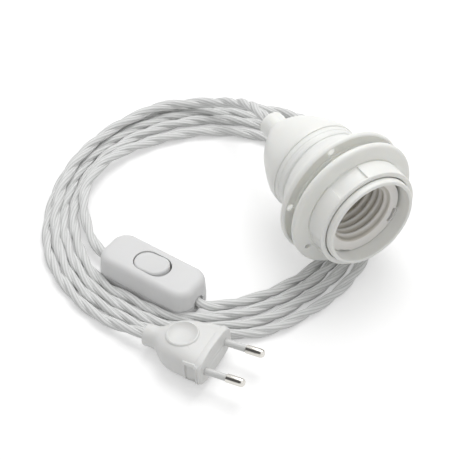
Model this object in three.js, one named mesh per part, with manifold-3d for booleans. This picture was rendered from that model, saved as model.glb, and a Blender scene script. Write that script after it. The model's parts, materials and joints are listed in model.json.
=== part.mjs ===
// Pendant cord set: a screw lamp holder with two shade rings, a coiled two-core textile cord,
// an inline rocker switch and a flat two-pin plug. Millimetres, +Z up. The origin is the face of
// the lamp's centre contact, the holder lies along Y and its mouth faces -Y.
import * as THREE from 'three';
import { mergeVertices } from 'three/addons/utils/BufferGeometryUtils.js';
import Module from 'manifold-3d';

// Common clearances
const gap = 0.3; // between pieces that touch or run in one another
const roundSegments = 40; // round the large turned pieces

// Threaded skirt and mouth
const mouthDepth = 32; // centre contact to the rim of the mouth
const mouthRadius = 20.3;
const skirtWall = 2;
const skirtLength = 43;
const skirtEdge = 0.5; // rounding of both ends

// Cap with its cord nipple
const capWall = 2.3;
const capShoulder = 0.3; // how far the cap stands proud of the skirt
const capLength = 28; // cap rim to the foot of the nipple
const spigotLength = 4; // part of the cap inside the skirt
const nippleRadius = 6.2;
const nippleLength = 8;
const gripRadius = 4.2;
const gripLength = 9.6;
const gripRecess = 0.6; // end of the grip inside the nipple

// Screw socket
const lampThreadRadius = 13.9; // bore that carries the lamp's thread
const lipRadius = 16.4;
const lipDepth = 8.5; // mouth rim to the lip of the socket
const flangeThickness = 2.9;
const socketWall = 2.7;
const contactRise = 3; // block face to the lamp's centre contact
const blockThickness = 4;
const bossRadius = 15;
const bossHeight = 3.8;

// Contacts and terminals
const stripThickness = 0.5;
const centreStripWidth = 5;
const sideStripWidth = 4;
const sideStripRadius = 11.4; // axis to the inner face of the side contact
const sideStripReach = 8.2;
const terminalSize = new THREE.Vector3(6, 6, 9);
const terminalSpread = 6.5;
const screwRadius = 1.9;
const screwHeight = 1.6;

// Shade rings
const collarWall = 1.2;
const padRise = 1.1; // how far the pads stand proud of the collar
const flareReach = 7.9; // collar to the edge of the rim
const rimThickness = 3.2;
const padSweep = 54; // degrees
const padCount = 4;
const padAngle = 154; // degrees from +X to the middle of the first pad
const collarLength = 8.6;
const frontRingDepth = 3.4; // mouth rim to the front of the collar
const flareDepth = 5.5; // collar to the back of the rim
const ringGap = 5.3; // between the two rings
const backCollarLength = 4.4;
const faceDepth = 2.2; // recess in the front of the back ring
const backFlareDepth = 7.2;
const ventRadius = 1.5;
const ventInset = 3.4; // edge of the rim to the middle of a vent

// Cord, its coil and how it lies
const cordRadius = 2.6;
const cordSides = 8;
const cordStep = 10.5; // length of one straight piece of a lead
const coilInner = 62.2;
const coilWidth = 15.8;
const coilCentre = new THREE.Vector2(-34.5, 40.5);
const coilSegments = 64;

// Inline switch
const switchLength = 50;
const switchWidth = 22;
const switchHeight = 15;
const switchCorner = 7.5;
const switchSplit = 5.25; // height of the joint between base and cover
const switchPlace = new THREE.Vector2(-82, 19.2);
const switchTurn = -68.5; // degrees
const switchCavity = new THREE.Vector2(36, 13.4);
const cavityFloor = 1.6;
const cavityRoof = 9;
const entryDepth = 1.2;
const entryRadius = 3.3;
const rockerLength = 17.2;
const rockerWidth = 12;
const rockerSlack = 0.7; // opening beyond the rocker at each end
const rockerSideSlack = 0.4;
const pivotHeight = 10.8;
const pivotRadius = 1.2;
const pivotLength = 1.2;
const rockerTilt = 6; // degrees either side of level
const switchScrewSpread = 20.4;
const switchTerminalSize = new THREE.Vector3(6, 8, 4);
const switchTerminalSpread = 13.5;
const bridgeWidth = 4;

// Plug
const plugPlace = new THREE.Vector3(-86.4, -38.5, -27.6);
const plugTurn = -60.7; // degrees
const plugPitch = 4.8; // degrees, the pins raised
const pinSpacing = 18.6;
const pinLength = 19;
const pinRadius = 2;
const pinSeat = 5.7; // length held in the body
const sleeveLength = 10;
const sleeveRadius = 1.6;
const coreRadius = 0.9;
const dishRadius = 7.6;
const dishCentre = 15.3; // behind the face
const dishDepth = 1.5;
const panelDepth = 0.9;

const wasm = await Module();
wasm.setup();

const rad = THREE.MathUtils.degToRad;

const white = new THREE.MeshStandardMaterial({ color: 0xeceeec, roughness: 0.42, metalness: 0 });
const ivory = new THREE.MeshStandardMaterial({ color: 0xe6e4dc, roughness: 0.5, metalness: 0 });
const matt = new THREE.MeshStandardMaterial({ color: 0xe2e3e2, roughness: 0.55, metalness: 0 });
const nickel = new THREE.MeshStandardMaterial({ color: 0xb9b6ae, roughness: 0.2, metalness: 1 });
const brass = new THREE.MeshStandardMaterial({ color: 0xc2a35a, roughness: 0.35, metalness: 1 });
const textile = new THREE.MeshStandardMaterial({ color: 0xdfe0de, roughness: 0.95, metalness: 0 });

/** Turns a closed geometry into a solid for cutting and joining. */
function toSolid(geometry) {
  const bare = geometry.clone();
  bare.deleteAttribute('normal');
  bare.deleteAttribute('uv');
  const merged = mergeVertices(bare, 1e-4);
  return new wasm.Manifold(
    new wasm.Mesh({
      numProp: 3,
      vertProperties: new Float32Array(merged.attributes.position.array),
      triVerts: new Uint32Array(merged.index.array),
    }),
  );
}

/** Turns a solid back into a geometry. */
function toGeometry(solid) {
  const mesh = solid.getMesh();
  const geometry = new THREE.BufferGeometry();
  geometry.setAttribute('position', new THREE.BufferAttribute(mesh.vertProperties, 3));
  geometry.setIndex(new THREE.BufferAttribute(mesh.triVerts, 1));
  geometry.computeVertexNormals();
  return geometry;
}

/** Cuts each tool from a geometry. */
function cut(geometry, tools) {
  let solid = toSolid(geometry);
  for (const tool of tools) {
    solid = solid.subtract(toSolid(tool));
  }
  return toGeometry(solid);
}

/** Joins each piece to a geometry. */
function join(geometry, pieces) {
  let solid = toSolid(geometry);
  for (const piece of pieces) {
    solid = solid.add(toSolid(piece));
  }
  return toGeometry(solid);
}

/** Turns a profile of [radius, y] points about Y; a profile off the axis closes on itself. */
function turned(profile, segments = roundSegments) {
  const points = profile.map(([radius, y]) => new THREE.Vector2(radius, y));
  if (profile[0][0] > 0) {
    points.push(points[0].clone());
  }
  return new THREE.LatheGeometry(points, segments);
}

/** Extrudes a flat shape of [x, z] points along Y, from front to back. */
function slabAlongY(shape, front, back) {
  const geometry = new THREE.ExtrudeGeometry(shape, { depth: back - front, bevelEnabled: false });
  return geometry.rotateX(Math.PI / 2).translate(0, back, 0);
}

/** A sector of an annulus about Y, its angles in degrees from +X towards +Z. */
function sector(inner, outer, from, to, front, back) {
  const shape = new THREE.Shape();
  shape.absarc(0, 0, outer, rad(from), rad(to), false);
  shape.absarc(0, 0, inner, rad(to), rad(from), true);
  const steps = Math.max(3, Math.round((to - from) / 9));
  const geometry = new THREE.ExtrudeGeometry(shape, {
    depth: back - front,
    bevelEnabled: false,
    curveSegments: steps,
  });
  return geometry.rotateX(Math.PI / 2).translate(0, back, 0);
}

/** A rod along Y at a given angle and radius from the axis. */
function rodAlongY(radius, front, back, angle = 0, offset = 0, sides = 12) {
  const geometry = new THREE.CylinderGeometry(radius, radius, back - front, sides);
  return geometry.translate(offset * Math.cos(rad(angle)), (front + back) / 2, offset * Math.sin(rad(angle)));
}

/** A rod along X. */
function rodAlongX(radius, from, to, z, sides = 12) {
  const geometry = new THREE.CylinderGeometry(radius, radius, to - from, sides);
  return geometry.rotateZ(-Math.PI / 2).translate((from + to) / 2, 0, z);
}

/** Skins a row of rings of points, each with the same count, and closes both ends. */
function loft(rings) {
  const count = rings[0].length;
  const positions = rings.flatMap((ring) => ring.flatMap((point) => point.toArray()));
  const index = [];
  for (let i = 0; i < rings.length - 1; i += 1) {
    for (let j = 0; j < count; j += 1) {
      const k = (j + 1) % count;
      const a = i * count + j;
      const b = i * count + k;
      index.push(a, b, b + count, a, b + count, a + count);
    }
  }
  for (const [ring, top] of [[0, false], [rings.length - 1, true]]) {
    const centre = positions.length / 3;
    const middle = rings[ring].reduce((sum, point) => sum.add(point), new THREE.Vector3());
    positions.push(...middle.divideScalar(count).toArray());
    for (let j = 0; j < count; j += 1) {
      const a = ring * count + j;
      const b = ring * count + ((j + 1) % count);
      index.push(...(top ? [a, b, centre] : [b, a, centre]));
    }
  }
  const geometry = new THREE.BufferGeometry();
  geometry.setAttribute('position', new THREE.Float32BufferAttribute(positions, 3));
  geometry.setIndex(index);
  geometry.computeVertexNormals();
  return geometry;
}

/** A flat ring of points round a rectangle with round corners, at height z. */
function roundedRing(length, width, corner, inset, z, perCorner = 3) {
  const ring = [];
  const radius = corner - inset;
  const corners = [[1, 1], [-1, 1], [-1, -1], [1, -1]];
  corners.forEach(([sx, sy], quarter) => {
    for (let i = 0; i <= perCorner; i += 1) {
      const angle = (quarter + i / perCorner) * (Math.PI / 2);
      const x = sx * (length / 2 - corner) + radius * Math.cos(angle);
      const y = sy * (width / 2 - corner) + radius * Math.sin(angle);
      ring.push(new THREE.Vector3(x, y, z));
    }
  });
  return ring;
}

/** A named mesh. */
function piece(name, geometry, material) {
  const mesh = new THREE.Mesh(geometry, material);
  mesh.name = name;
  return mesh;
}

// Stations along the holder, from the origin
const mouthY = -mouthDepth;
const skirtRadius = mouthRadius + skirtWall;
const skirtEnd = mouthY + skirtLength;
const blockFace = contactRise;
const blockBack = blockFace + blockThickness;
const bossBack = blockBack + bossHeight;
const ringBore = skirtRadius + gap;
const collarRadius = ringBore + collarWall;
const padRadius = collarRadius + padRise;
const ringRadius = collarRadius + flareReach;
const ventCircle = ringRadius - ventInset;
const frontCollar = mouthY + frontRingDepth;
const frontRim = frontCollar + collarLength + flareDepth;
const backFace = frontRim + ringGap;
const capStart = skirtEnd + gap;
const nippleFoot = capStart + capLength;
const nippleEnd = nippleFoot + nippleLength;
const gripEnd = nippleEnd - gripRecess;

/** Threaded outer sleeve whose front end is the mouth. */
function makeSkirt() {
  return turned([
    [mouthRadius, mouthY + skirtEdge],
    [mouthRadius + skirtEdge, mouthY],
    [skirtRadius - skirtEdge, mouthY],
    [skirtRadius, mouthY + skirtEdge],
    [skirtRadius, skirtEnd - skirtEdge],
    [skirtRadius - skirtEdge, skirtEnd],
    [mouthRadius, skirtEnd],
  ]);
}

/** Domed cap that narrows to the nipple, with a spigot inside the skirt. */
function makeCap() {
  const outer = skirtRadius + capShoulder;
  const spigot = mouthRadius - gap;
  const dome = new THREE.SplineCurve([
    new THREE.Vector2(outer, capStart + 0.5),
    new THREE.Vector2(outer - 0.6, capStart + capLength * 0.17),
    new THREE.Vector2(outer - 3.1, capStart + capLength * 0.4),
    new THREE.Vector2(outer - 7.1, capStart + capLength * 0.66),
    new THREE.Vector2(nippleRadius + 4.6, capStart + capLength * 0.86),
    new THREE.Vector2(nippleRadius + 1.4, capStart + capLength * 0.96),
    new THREE.Vector2(nippleRadius, nippleFoot + 0.8),
  ]);
  const outside = dome.getPoints(12).map((point) => [point.x, point.y]);
  const cavity = outside
    .slice(1, 9)
    .reverse()
    .map(([radius, y]) => [radius - capWall, y - capWall * 0.5]);
  const bore = gripRadius + gap;
  return turned([
    [spigot - capWall, capStart - spigotLength],
    [spigot, capStart - spigotLength],
    [spigot, capStart],
    [outer - 0.3, capStart],
    ...outside,
    [nippleRadius, nippleEnd - 1.4],
    [nippleRadius - 1, nippleEnd],
    [bore, nippleEnd],
    [bore, nippleFoot - 2],
    ...cavity,
  ]);
}

/** Socket that takes the lamp, with the slots of its front flange. */
function makeSocket() {
  const lip = mouthY + lipDepth;
  const outer = mouthRadius - gap;
  const body = lampThreadRadius + socketWall;
  const flangeFront = lip - 0.9;
  const flangeBack = flangeFront + flangeThickness;
  const geometry = turned([
    [lampThreadRadius, lip + 3],
    [lampThreadRadius + 1.5, lip + 0.5],
    [lipRadius, lip],
    [outer - 0.6, flangeFront],
    [outer, flangeFront + 0.4],
    [outer, flangeBack],
    [body, flangeBack],
    [body, blockFace - gap],
    [lampThreadRadius, blockFace - gap],
  ]);
  const slots = [[17.9, -16, 30], [18.9, -39, -20], [19.2, -128, -110]].map(([inner, from, to]) =>
    sector(inner, outer + 1, from, to, flangeFront - 1, flangeBack + 0.1),
  );
  return cut(geometry, slots);
}

/** Insulating block behind the socket. */
function makeBlock() {
  const outer = mouthRadius - gap;
  return turned([
    [0, blockFace],
    [outer - 0.4, blockFace],
    [outer, blockFace + 0.4],
    [outer, blockBack],
    [bossRadius, blockBack],
    [bossRadius, bossBack],
    [0, bossBack],
  ]);
}

/** Leaf spring that meets the lamp's centre contact at the origin. */
function makeCentreContact() {
  const foot = blockFace - gap;
  const half = centreStripWidth / 2;
  const shape = new THREE.Shape([
    new THREE.Vector2(-10, foot),
    new THREE.Vector2(-10, foot - stripThickness),
    new THREE.Vector2(-6, foot - stripThickness),
    new THREE.Vector2(-half, 0),
    new THREE.Vector2(half, 0),
    new THREE.Vector2(half + 1.6, 0.9),
    new THREE.Vector2(half + 1.2, 1.3),
    new THREE.Vector2(half - 0.2, stripThickness),
    new THREE.Vector2(0.2 - half, stripThickness),
    new THREE.Vector2(-5.8, foot),
  ]);
  const geometry = new THREE.ExtrudeGeometry(shape, { depth: centreStripWidth, bevelEnabled: false });
  return geometry.translate(0, 0, -centreStripWidth / 2).rotateY(-Math.PI / 2);
}

/** Leaf spring that meets the side of the lamp's shell. */
function makeSideContact() {
  const foot = blockFace - gap;
  const face = sideStripRadius;
  const shape = new THREE.Shape([
    new THREE.Vector2(face - 3, foot),
    new THREE.Vector2(face - 3, foot - stripThickness),
    new THREE.Vector2(face, foot - stripThickness),
    new THREE.Vector2(face, foot - sideStripReach),
    new THREE.Vector2(face + stripThickness, foot - sideStripReach),
    new THREE.Vector2(face + stripThickness, foot),
  ]);
  const geometry = new THREE.ExtrudeGeometry(shape, { depth: sideStripWidth, bevelEnabled: false });
  return geometry.translate(0, 0, -sideStripWidth / 2);
}

/** Front shade ring: a grip collar with pads that flares to a round rim. */
function makeFrontRing() {
  const front = frontCollar;
  const root = front + collarLength;
  const back = frontRim;
  const hub = collarRadius + 0.6;
  const geometry = turned([
    [ringBore, front],
    [collarRadius - 0.4, front],
    [collarRadius, front + 0.5],
    [collarRadius, root],
    [collarRadius + 1.3, root + 1.1],
    [ringRadius - 3.6, back - rimThickness - 0.3],
    [ringRadius - 1, back - rimThickness],
    [ringRadius, back - rimThickness + 1],
    [ringRadius, back - 0.9],
    [ringRadius - 0.9, back],
    [ringRadius - 2, back],
    [ringRadius - 3.4, back - 1.3],
    [hub, back - 1.9],
    [hub, back],
    [ringBore, back],
  ]);
  const pads = [];
  for (let i = 0; i < padCount; i += 1) {
    const middle = padAngle + (360 / padCount) * i;
    const from = middle - padSweep / 2;
    pads.push(sector(collarRadius - 0.6, padRadius, from, from + padSweep, front + 0.6, root + 1));
  }
  const vent = rodAlongY(ventRadius, back - rimThickness - 4, back + 1, -153.4, ventCircle - 1.2);
  return cut(join(geometry, pads), [vent]);
}

/** Back shade ring, which faces the front one and flares the other way. */
function makeBackRing() {
  const front = backFace;
  const back = front + rimThickness + backFlareDepth + 1.3;
  const geometry = turned([
    [ringBore, front],
    [collarRadius + 1.4, front],
    [collarRadius + 2, front + faceDepth],
    [ringRadius - 2, front + faceDepth],
    [ringRadius - 1, front],
    [ringRadius, front + 0.9],
    [ringRadius, front + 2.2],
    [ringRadius - 0.8, front + rimThickness],
    [ringRadius - 3, front + rimThickness + 0.8],
    [collarRadius + 2.5, front + rimThickness + 2.6],
    [collarRadius + 0.7, front + rimThickness + 5.2],
    [collarRadius, back - backCollarLength + 3],
    [collarRadius - 0.3, back],
    [ringBore, back],
  ]);
  const vents = [105.5, 169.1, 285.5, 349.1].map((angle) =>
    rodAlongY(ventRadius, front - 1, back, angle, ventCircle),
  );
  return cut(geometry, vents);
}

const holder = new THREE.Group();
holder.add(
  piece('skirt', makeSkirt(), white),
  piece('cap', makeCap(), white),
  piece('socket', makeSocket(), ivory),
  piece('contact_block', makeBlock(), ivory),
  piece('centre_contact', makeCentreContact(), brass),
  piece('side_contact', makeSideContact(), brass),
  piece('ring_front', makeFrontRing(), white),
  piece('ring_back', makeBackRing(), white),
  piece('cord_grip', rodAlongY(gripRadius, gripEnd - gripLength, gripEnd, 0, 0, 20), white),
);
for (const [name, side] of [['live', 1], ['neutral', -1]]) {
  const terminal = piece(`terminal_${name}`, new THREE.BoxGeometry(...terminalSize), brass);
  terminal.position.set(side * terminalSpread, bossBack + gap + terminalSize.y / 2, 0);
  const top = bossBack + gap + terminalSize.y + gap;
  const head = rodAlongY(screwRadius, top, top + screwHeight, 0, side * terminalSpread);
  holder.add(terminal, piece(`terminal_screw_${name}`, head, nickel));
}

// The surface that everything lies on is one cord's thickness below the rings
const floorZ = -(ringRadius + gap + 2 * cordRadius + gap);
const coilOuter = coilInner + coilWidth;

/** Switch base: a rounded tray with its screw holes and half of each cord entry. */
function makeSwitchBase() {
  const top = switchSplit - gap / 2;
  const body = loft([
    roundedRing(switchLength, switchWidth, switchCorner, 2.4, 0),
    roundedRing(switchLength, switchWidth, switchCorner, 0.9, 1.2),
    roundedRing(switchLength, switchWidth, switchCorner, 0, top),
  ]);
  const tools = [
    new THREE.BoxGeometry(switchCavity.x, switchCavity.y, 8).translate(0, 0, cavityFloor + 4),
  ];
  for (const side of [-1, 1]) {
    const hole = new THREE.CylinderGeometry(2 + gap, 2 + gap, 16, 12).rotateX(Math.PI / 2);
    tools.push(hole.translate(side * switchScrewSpread, 0, 0));
    const end = (side * switchLength) / 2;
    const entry = [end - side * entryDepth, end + side * 3].sort((a, b) => a - b);
    tools.push(rodAlongX(entryRadius, entry[0], entry[1], switchSplit));
  }
  return cut(body, tools);
}

/** Switch cover: soft-edged, open over the rocker, with bearings for its pivot. */
function makeSwitchCover() {
  const bottom = switchSplit + gap / 2;
  const high = switchHeight;
  const body = loft([
    roundedRing(switchLength, switchWidth, switchCorner, 0, bottom),
    roundedRing(switchLength, switchWidth, switchCorner, 0.5, high - 4.2),
    roundedRing(switchLength, switchWidth, switchCorner, 1.3, high - 1.7),
    roundedRing(switchLength, switchWidth, switchCorner, 2.6, high - 0.5),
    roundedRing(switchLength, switchWidth, switchCorner, 4.4, high),
  ]);
  const opening = rockerOutline(rockerLength + 2 * rockerSlack, rockerWidth + 2 * rockerSideSlack);
  const tools = [
    new THREE.BoxGeometry(switchCavity.x, switchCavity.y, 2 * (cavityRoof - bottom)).translate(0, 0, bottom),
    new THREE.ExtrudeGeometry(opening, { depth: 12, bevelEnabled: false, curveSegments: 6 })
      .translate(0, 0, cavityRoof - 1),
    new THREE.CylinderGeometry(pivotRadius + gap, pivotRadius + gap, rockerWidth + 2 * (pivotLength + gap), 12)
      .translate(0, 0, pivotHeight),
  ];
  for (const side of [-1, 1]) {
    const end = (side * switchLength) / 2;
    const entry = [end - side * entryDepth, end + side * 3].sort((a, b) => a - b);
    tools.push(rodAlongX(entryRadius, entry[0], entry[1], switchSplit));
  }
  return cut(body, tools);
}

/** Outline with round ends, along X. */
function rockerOutline(length, width) {
  const shape = new THREE.Shape();
  const straight = (length - width) / 2;
  shape.absarc(straight, 0, width / 2, -Math.PI / 2, Math.PI / 2, false);
  shape.absarc(-straight, 0, width / 2, Math.PI / 2, (3 * Math.PI) / 2, false);
  return shape;
}

/** Rocker about its pivot: a dished key with a nib below and two pivot stubs. */
function makeRocker() {
  const half = rockerLength / 2;
  const side = new THREE.Shape([
    new THREE.Vector2(-half - 1, -1.4),
    new THREE.Vector2(-1.2, -2.4),
    new THREE.Vector2(-0.9, -3.7),
    new THREE.Vector2(0.9, -3.7),
    new THREE.Vector2(1.2, -2.4),
    new THREE.Vector2(half + 1, -1.4),
    new THREE.Vector2(half + 1, 4.4),
    new THREE.Vector2(half - 0.6, 5),
    new THREE.Vector2(half * 0.5, 4.6),
    new THREE.Vector2(0, 4.4),
    new THREE.Vector2(-half * 0.5, 4.6),
    new THREE.Vector2(0.6 - half, 5),
    new THREE.Vector2(-half - 1, 4.4),
  ]);
  const bar = new THREE.ExtrudeGeometry(side, { depth: rockerWidth + 2, bevelEnabled: false });
  bar.rotateX(Math.PI / 2).translate(0, rockerWidth / 2 + 1, 0);
  const plan = new THREE.ExtrudeGeometry(rockerOutline(rockerLength, rockerWidth), {
    depth: 12,
    bevelEnabled: false,
    curveSegments: 6,
  });
  plan.translate(0, 0, -5);
  const key = toGeometry(toSolid(bar).intersect(toSolid(plan)));
  const stub = new THREE.CylinderGeometry(pivotRadius, pivotRadius, rockerWidth + 2 * pivotLength, 12);
  return join(key, [stub]);
}

/** Countersunk screw in the switch base, along Z from its head. */
function makeSwitchScrew() {
  const length = switchSplit - gap / 2 - 0.5;
  const profile = [[0, 0], [2, 0], [2, 1.4], [1.2, 1.9], [1.2, length], [0, length]];
  return turned(profile, 12).rotateX(Math.PI / 2);
}

const inlineSwitch = new THREE.Group();
inlineSwitch.position.set(switchPlace.x, switchPlace.y, floorZ);
inlineSwitch.rotation.z = rad(switchTurn);
const rocker = piece('switch_rocker', makeRocker(), matt);
rocker.position.z = pivotHeight;
rocker.rotation.y = rad(-rockerTilt);
inlineSwitch.add(
  piece('switch_base', makeSwitchBase(), matt),
  piece('switch_cover', makeSwitchCover(), matt),
  rocker,
);
const bridgeLow = cavityFloor + gap + switchTerminalSize.z + gap;
const bridge = piece(
  'switch_bridge',
  new THREE.BoxGeometry(2 * switchTerminalSpread + 4, bridgeWidth, stripThickness),
  brass,
);
bridge.position.z = bridgeLow + stripThickness / 2;
inlineSwitch.add(bridge);
for (const [name, side] of [['in', -1], ['out', 1]]) {
  const terminal = piece(`switch_terminal_${name}`, new THREE.BoxGeometry(...switchTerminalSize), brass);
  terminal.position.set(side * switchTerminalSpread, 0, cavityFloor + gap + switchTerminalSize.z / 2);
  const screw = piece(`switch_screw_${name}`, makeSwitchScrew(), nickel);
  screw.position.set(side * switchScrewSpread, 0, 0.5);
  inlineSwitch.add(terminal, screw);
}

/** Cross-section of the plug body: flat above and below at its face, round at the boot. */
function plugRing(x, halfWidth, halfHeight, flatness) {
  const ring = [];
  const count = 20;
  for (let i = 0; i < count; i += 1) {
    const angle = (2 * Math.PI * i) / count;
    const across = Math.sign(Math.cos(angle)) * Math.abs(Math.cos(angle)) ** (1 - 0.25 * flatness);
    const upward = Math.sign(Math.sin(angle)) * Math.abs(Math.sin(angle)) ** (1 - 0.5 * flatness);
    ring.push(new THREE.Vector3(x, halfWidth * across, halfHeight * upward));
  }
  return ring;
}

/** Moulded plug body with finger dishes, side panels, pin seats and its round boot. */
function makePlugBody() {
  const body = loft([
    plugRing(-34.1, 4.5, 4.5, 0),
    plugRing(-33.5, 5, 5, 0),
    plugRing(-28.4, 5.3, 5.3, 0),
    plugRing(-26.6, 6, 5.6, 0.1),
    plugRing(-24, 8.6, 6.9, 0.3),
    plugRing(-20, 11.2, 8, 0.6),
    plugRing(-14, 12.6, 8.3, 0.8),
    plugRing(-7, 13.4, 7.5, 1),
    plugRing(-3.2, 13.9, 7, 1),
    plugRing(-2.8, 14.4, 7.2, 1),
    plugRing(-0.5, 14.7, 7.1, 1),
    plugRing(0, 14.3, 6.7, 1),
  ]);
  const tools = [];
  for (const side of [-1, 1]) {
    const dish = new THREE.CylinderGeometry(dishRadius + 0.8, dishRadius - 0.5, 5, 24);
    dish.rotateX(Math.PI / 2).translate(0, 0, 8.3 - dishDepth + 2.5);
    dish.translate(-dishCentre, 0, 0);
    tools.push(side > 0 ? dish : dish.clone().rotateX(Math.PI));
    const panel = new THREE.BoxGeometry(6.6, 4, 7);
    tools.push(panel.translate(-6.6, side * (13.2 - panelDepth + 2), 0));
    const seat = rodAlongX(sleeveRadius + gap, -pinSeat - gap, 1, 0);
    tools.push(seat.translate(0, (side * pinSpacing) / 2, 0));
  }
  return cut(body, tools);
}

const plug = new THREE.Group();
plug.position.copy(plugPlace);
plug.rotation.set(0, rad(-plugPitch), rad(plugTurn), 'ZYX');
plug.add(piece('plug_body', makePlugBody(), white));
for (const [name, side] of [['left', -1], ['right', 1]]) {
  const pinShape = turned(
    [
      [0, -pinSeat],
      [coreRadius, -pinSeat],
      [coreRadius, sleeveLength + gap],
      [pinRadius, sleeveLength + gap],
      [pinRadius, pinLength - 1.4],
      [pinRadius * 0.72, pinLength - 0.4],
      [0, pinLength],
    ],
    12,
  );
  const sleeveShape = turned(
    [
      [coreRadius + gap, gap - pinSeat],
      [sleeveRadius, gap - pinSeat],
      [sleeveRadius, sleeveLength],
      [coreRadius + gap, sleeveLength],
    ],
    12,
  );
  const pin = piece(`plug_pin_${name}`, pinShape, nickel);
  const sleeve = piece(`plug_sleeve_${name}`, sleeveShape, matt);
  for (const mesh of [pin, sleeve]) {
    mesh.rotation.z = -Math.PI / 2;
    mesh.position.y = (side * pinSpacing) / 2;
    plug.add(mesh);
  }
}

/** A stretch of cord through hand-chosen points. */
function lead(name, points) {
  const path = new THREE.CatmullRomCurve3(
    points.map(([x, y, z]) => new THREE.Vector3(x, y, z)),
    false,
    'centripetal',
  );
  const section = new THREE.Shape();
  section.absarc(0, 0, cordRadius, 0, 2 * Math.PI, false);
  const geometry = new THREE.ExtrudeGeometry(section, {
    steps: Math.max(3, Math.round(path.getLength() / cordStep)),
    curveSegments: cordSides,
    bevelEnabled: false,
    extrudePath: path,
  });
  return piece(name, geometry, textile);
}

/** The coil's outer shape: a flat ring with a bay round the switch. */
function makeCoil() {
  const high = 2 * cordRadius;
  const low = 0.38 * cordRadius;
  const slope = 0.2 * cordRadius;
  const edge = 0.7 * cordRadius;
  const ring = turned(
    [
      [coilInner, cordRadius],
      [coilInner + slope, low],
      [coilInner + edge, 0],
      [coilOuter - edge, 0],
      [coilOuter - slope, low],
      [coilOuter, cordRadius],
      [coilOuter - slope, high - low],
      [coilOuter - edge, high],
      [coilInner + edge, high],
      [coilInner + slope, high - low],
    ],
    coilSegments,
  );
  ring.rotateX(Math.PI / 2).translate(coilCentre.x, coilCentre.y, floorZ);
  const room = 2 * gap;
  const bay = loft([
    roundedRing(switchLength + room, switchWidth + room, switchCorner + gap, 0, -1),
    roundedRing(switchLength + room, switchWidth + room, switchCorner + gap, 0, high + 1),
  ]);
  bay.rotateZ(rad(switchTurn)).translate(switchPlace.x, switchPlace.y, floorZ);
  return cut(ring, [bay]);
}

const lying = floorZ + cordRadius + 0.1;
const onTop = floorZ + 3 * cordRadius + gap;
const cord = new THREE.Group();
cord.add(
  piece('cord_coil', makeCoil(), textile),
  lead('cord_from_holder', [
    [0, gripEnd + gap, 0],
    [0, gripEnd + 4, 0],
    [0.8, 58, -2],
    [3, 67, -6.5],
    [4.5, 77, -13],
    [4.5, 88, -20.5],
    [0.5, 99, -26.5],
    [-8, 107.5, onTop],
    [-20, 112.5, onTop],
  ]),
  lead('cord_into_switch', [
    [-67.9, 88.2, lying],
    [-79.7, 77.1, lying],
    [-86.8, 66, lying],
    [-90.9, 54.6, lying + 0.6],
    [-92.25, 45.4, floorZ + switchSplit - 0.2],
    [-90.82, 41.61, floorZ + switchSplit],
  ]),
  lead('cord_out_of_switch', [
    [-73.18, -3.21, floorZ + switchSplit],
    [-72.35, -5.3, floorZ + switchSplit - 0.1],
    [-69.2, -7.5, lying + 1.6],
    [-63.5, -9.6, lying + 0.4],
    [-55.5, -12.6, lying],
    [-45.5, -15.5, lying],
    [-34.5, -16.6, lying],
    [-22.5, -15.2, lying],
    [-9.5, -10.7, lying],
    [2.5, -3, lying],
  ]),
  lead('cord_to_plug', [
    [-103.22, -8.53, -30.49],
    [-105.1, -5.2, -30.85],
    [-108.6, 2, -32.4],
    [-112.2, 11, lying + 0.8],
    [-115, 24, lying],
    [-115.6, 38, lying],
  ]),
);

const pendantCordSet = new THREE.Group();
pendantCordSet.add(holder, inlineSwitch, plug, cord);

export default pendantCordSet;
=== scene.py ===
"""Looks of a pendant cord set: lamp holder, shade rings, twisted cord, rocker switch and plug."""

import json
import logging
import math
from collections.abc import Callable, Iterable, Iterator, Sequence
from contextlib import contextmanager
from dataclasses import dataclass, field
from enum import Enum

import bmesh
import bpy
from mathutils import Matrix, Vector

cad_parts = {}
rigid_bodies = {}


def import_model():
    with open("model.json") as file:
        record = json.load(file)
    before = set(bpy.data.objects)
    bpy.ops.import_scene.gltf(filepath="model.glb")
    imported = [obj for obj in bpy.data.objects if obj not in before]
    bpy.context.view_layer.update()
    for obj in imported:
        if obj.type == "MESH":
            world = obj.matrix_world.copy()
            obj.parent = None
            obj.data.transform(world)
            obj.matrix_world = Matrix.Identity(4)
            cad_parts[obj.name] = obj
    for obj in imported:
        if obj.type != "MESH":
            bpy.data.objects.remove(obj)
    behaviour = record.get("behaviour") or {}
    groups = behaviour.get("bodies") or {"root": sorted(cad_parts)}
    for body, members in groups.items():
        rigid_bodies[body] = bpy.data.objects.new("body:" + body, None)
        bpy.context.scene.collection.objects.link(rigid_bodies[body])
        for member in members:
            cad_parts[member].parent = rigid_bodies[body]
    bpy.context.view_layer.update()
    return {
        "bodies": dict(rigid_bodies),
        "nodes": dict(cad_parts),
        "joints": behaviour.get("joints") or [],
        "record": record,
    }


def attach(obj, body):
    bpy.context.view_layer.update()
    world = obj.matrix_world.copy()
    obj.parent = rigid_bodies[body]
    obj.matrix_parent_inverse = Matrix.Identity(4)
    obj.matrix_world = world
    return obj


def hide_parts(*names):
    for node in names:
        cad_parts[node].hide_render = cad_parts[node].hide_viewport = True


MM = 0.001
FLOOR = -37.5
CRISP = 34.0
LOG = logging.getLogger("pendant_cord_set")

Piece = bpy.types.Object
Socket = bpy.types.NodeSocket
Point = tuple[float, float, float]
Corner = tuple[float, float, float]
Colour = tuple[float, float, float]


class Body(Enum):
    """The rigid bodies that a piece can ride on."""

    FIXED = "body"
    FRONT_RING = "front_ring"
    BACK_RING = "back_ring"
    ROCKER = "rocker"


class Slot(Enum):
    """The record's material slots."""

    WHITE = "white_plastic"
    IVORY = "ivory_plastic"
    SWITCH = "switch_plastic"
    NICKEL = "nickel"
    BRASS = "brass"
    TEXTILE = "textile"


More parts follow.
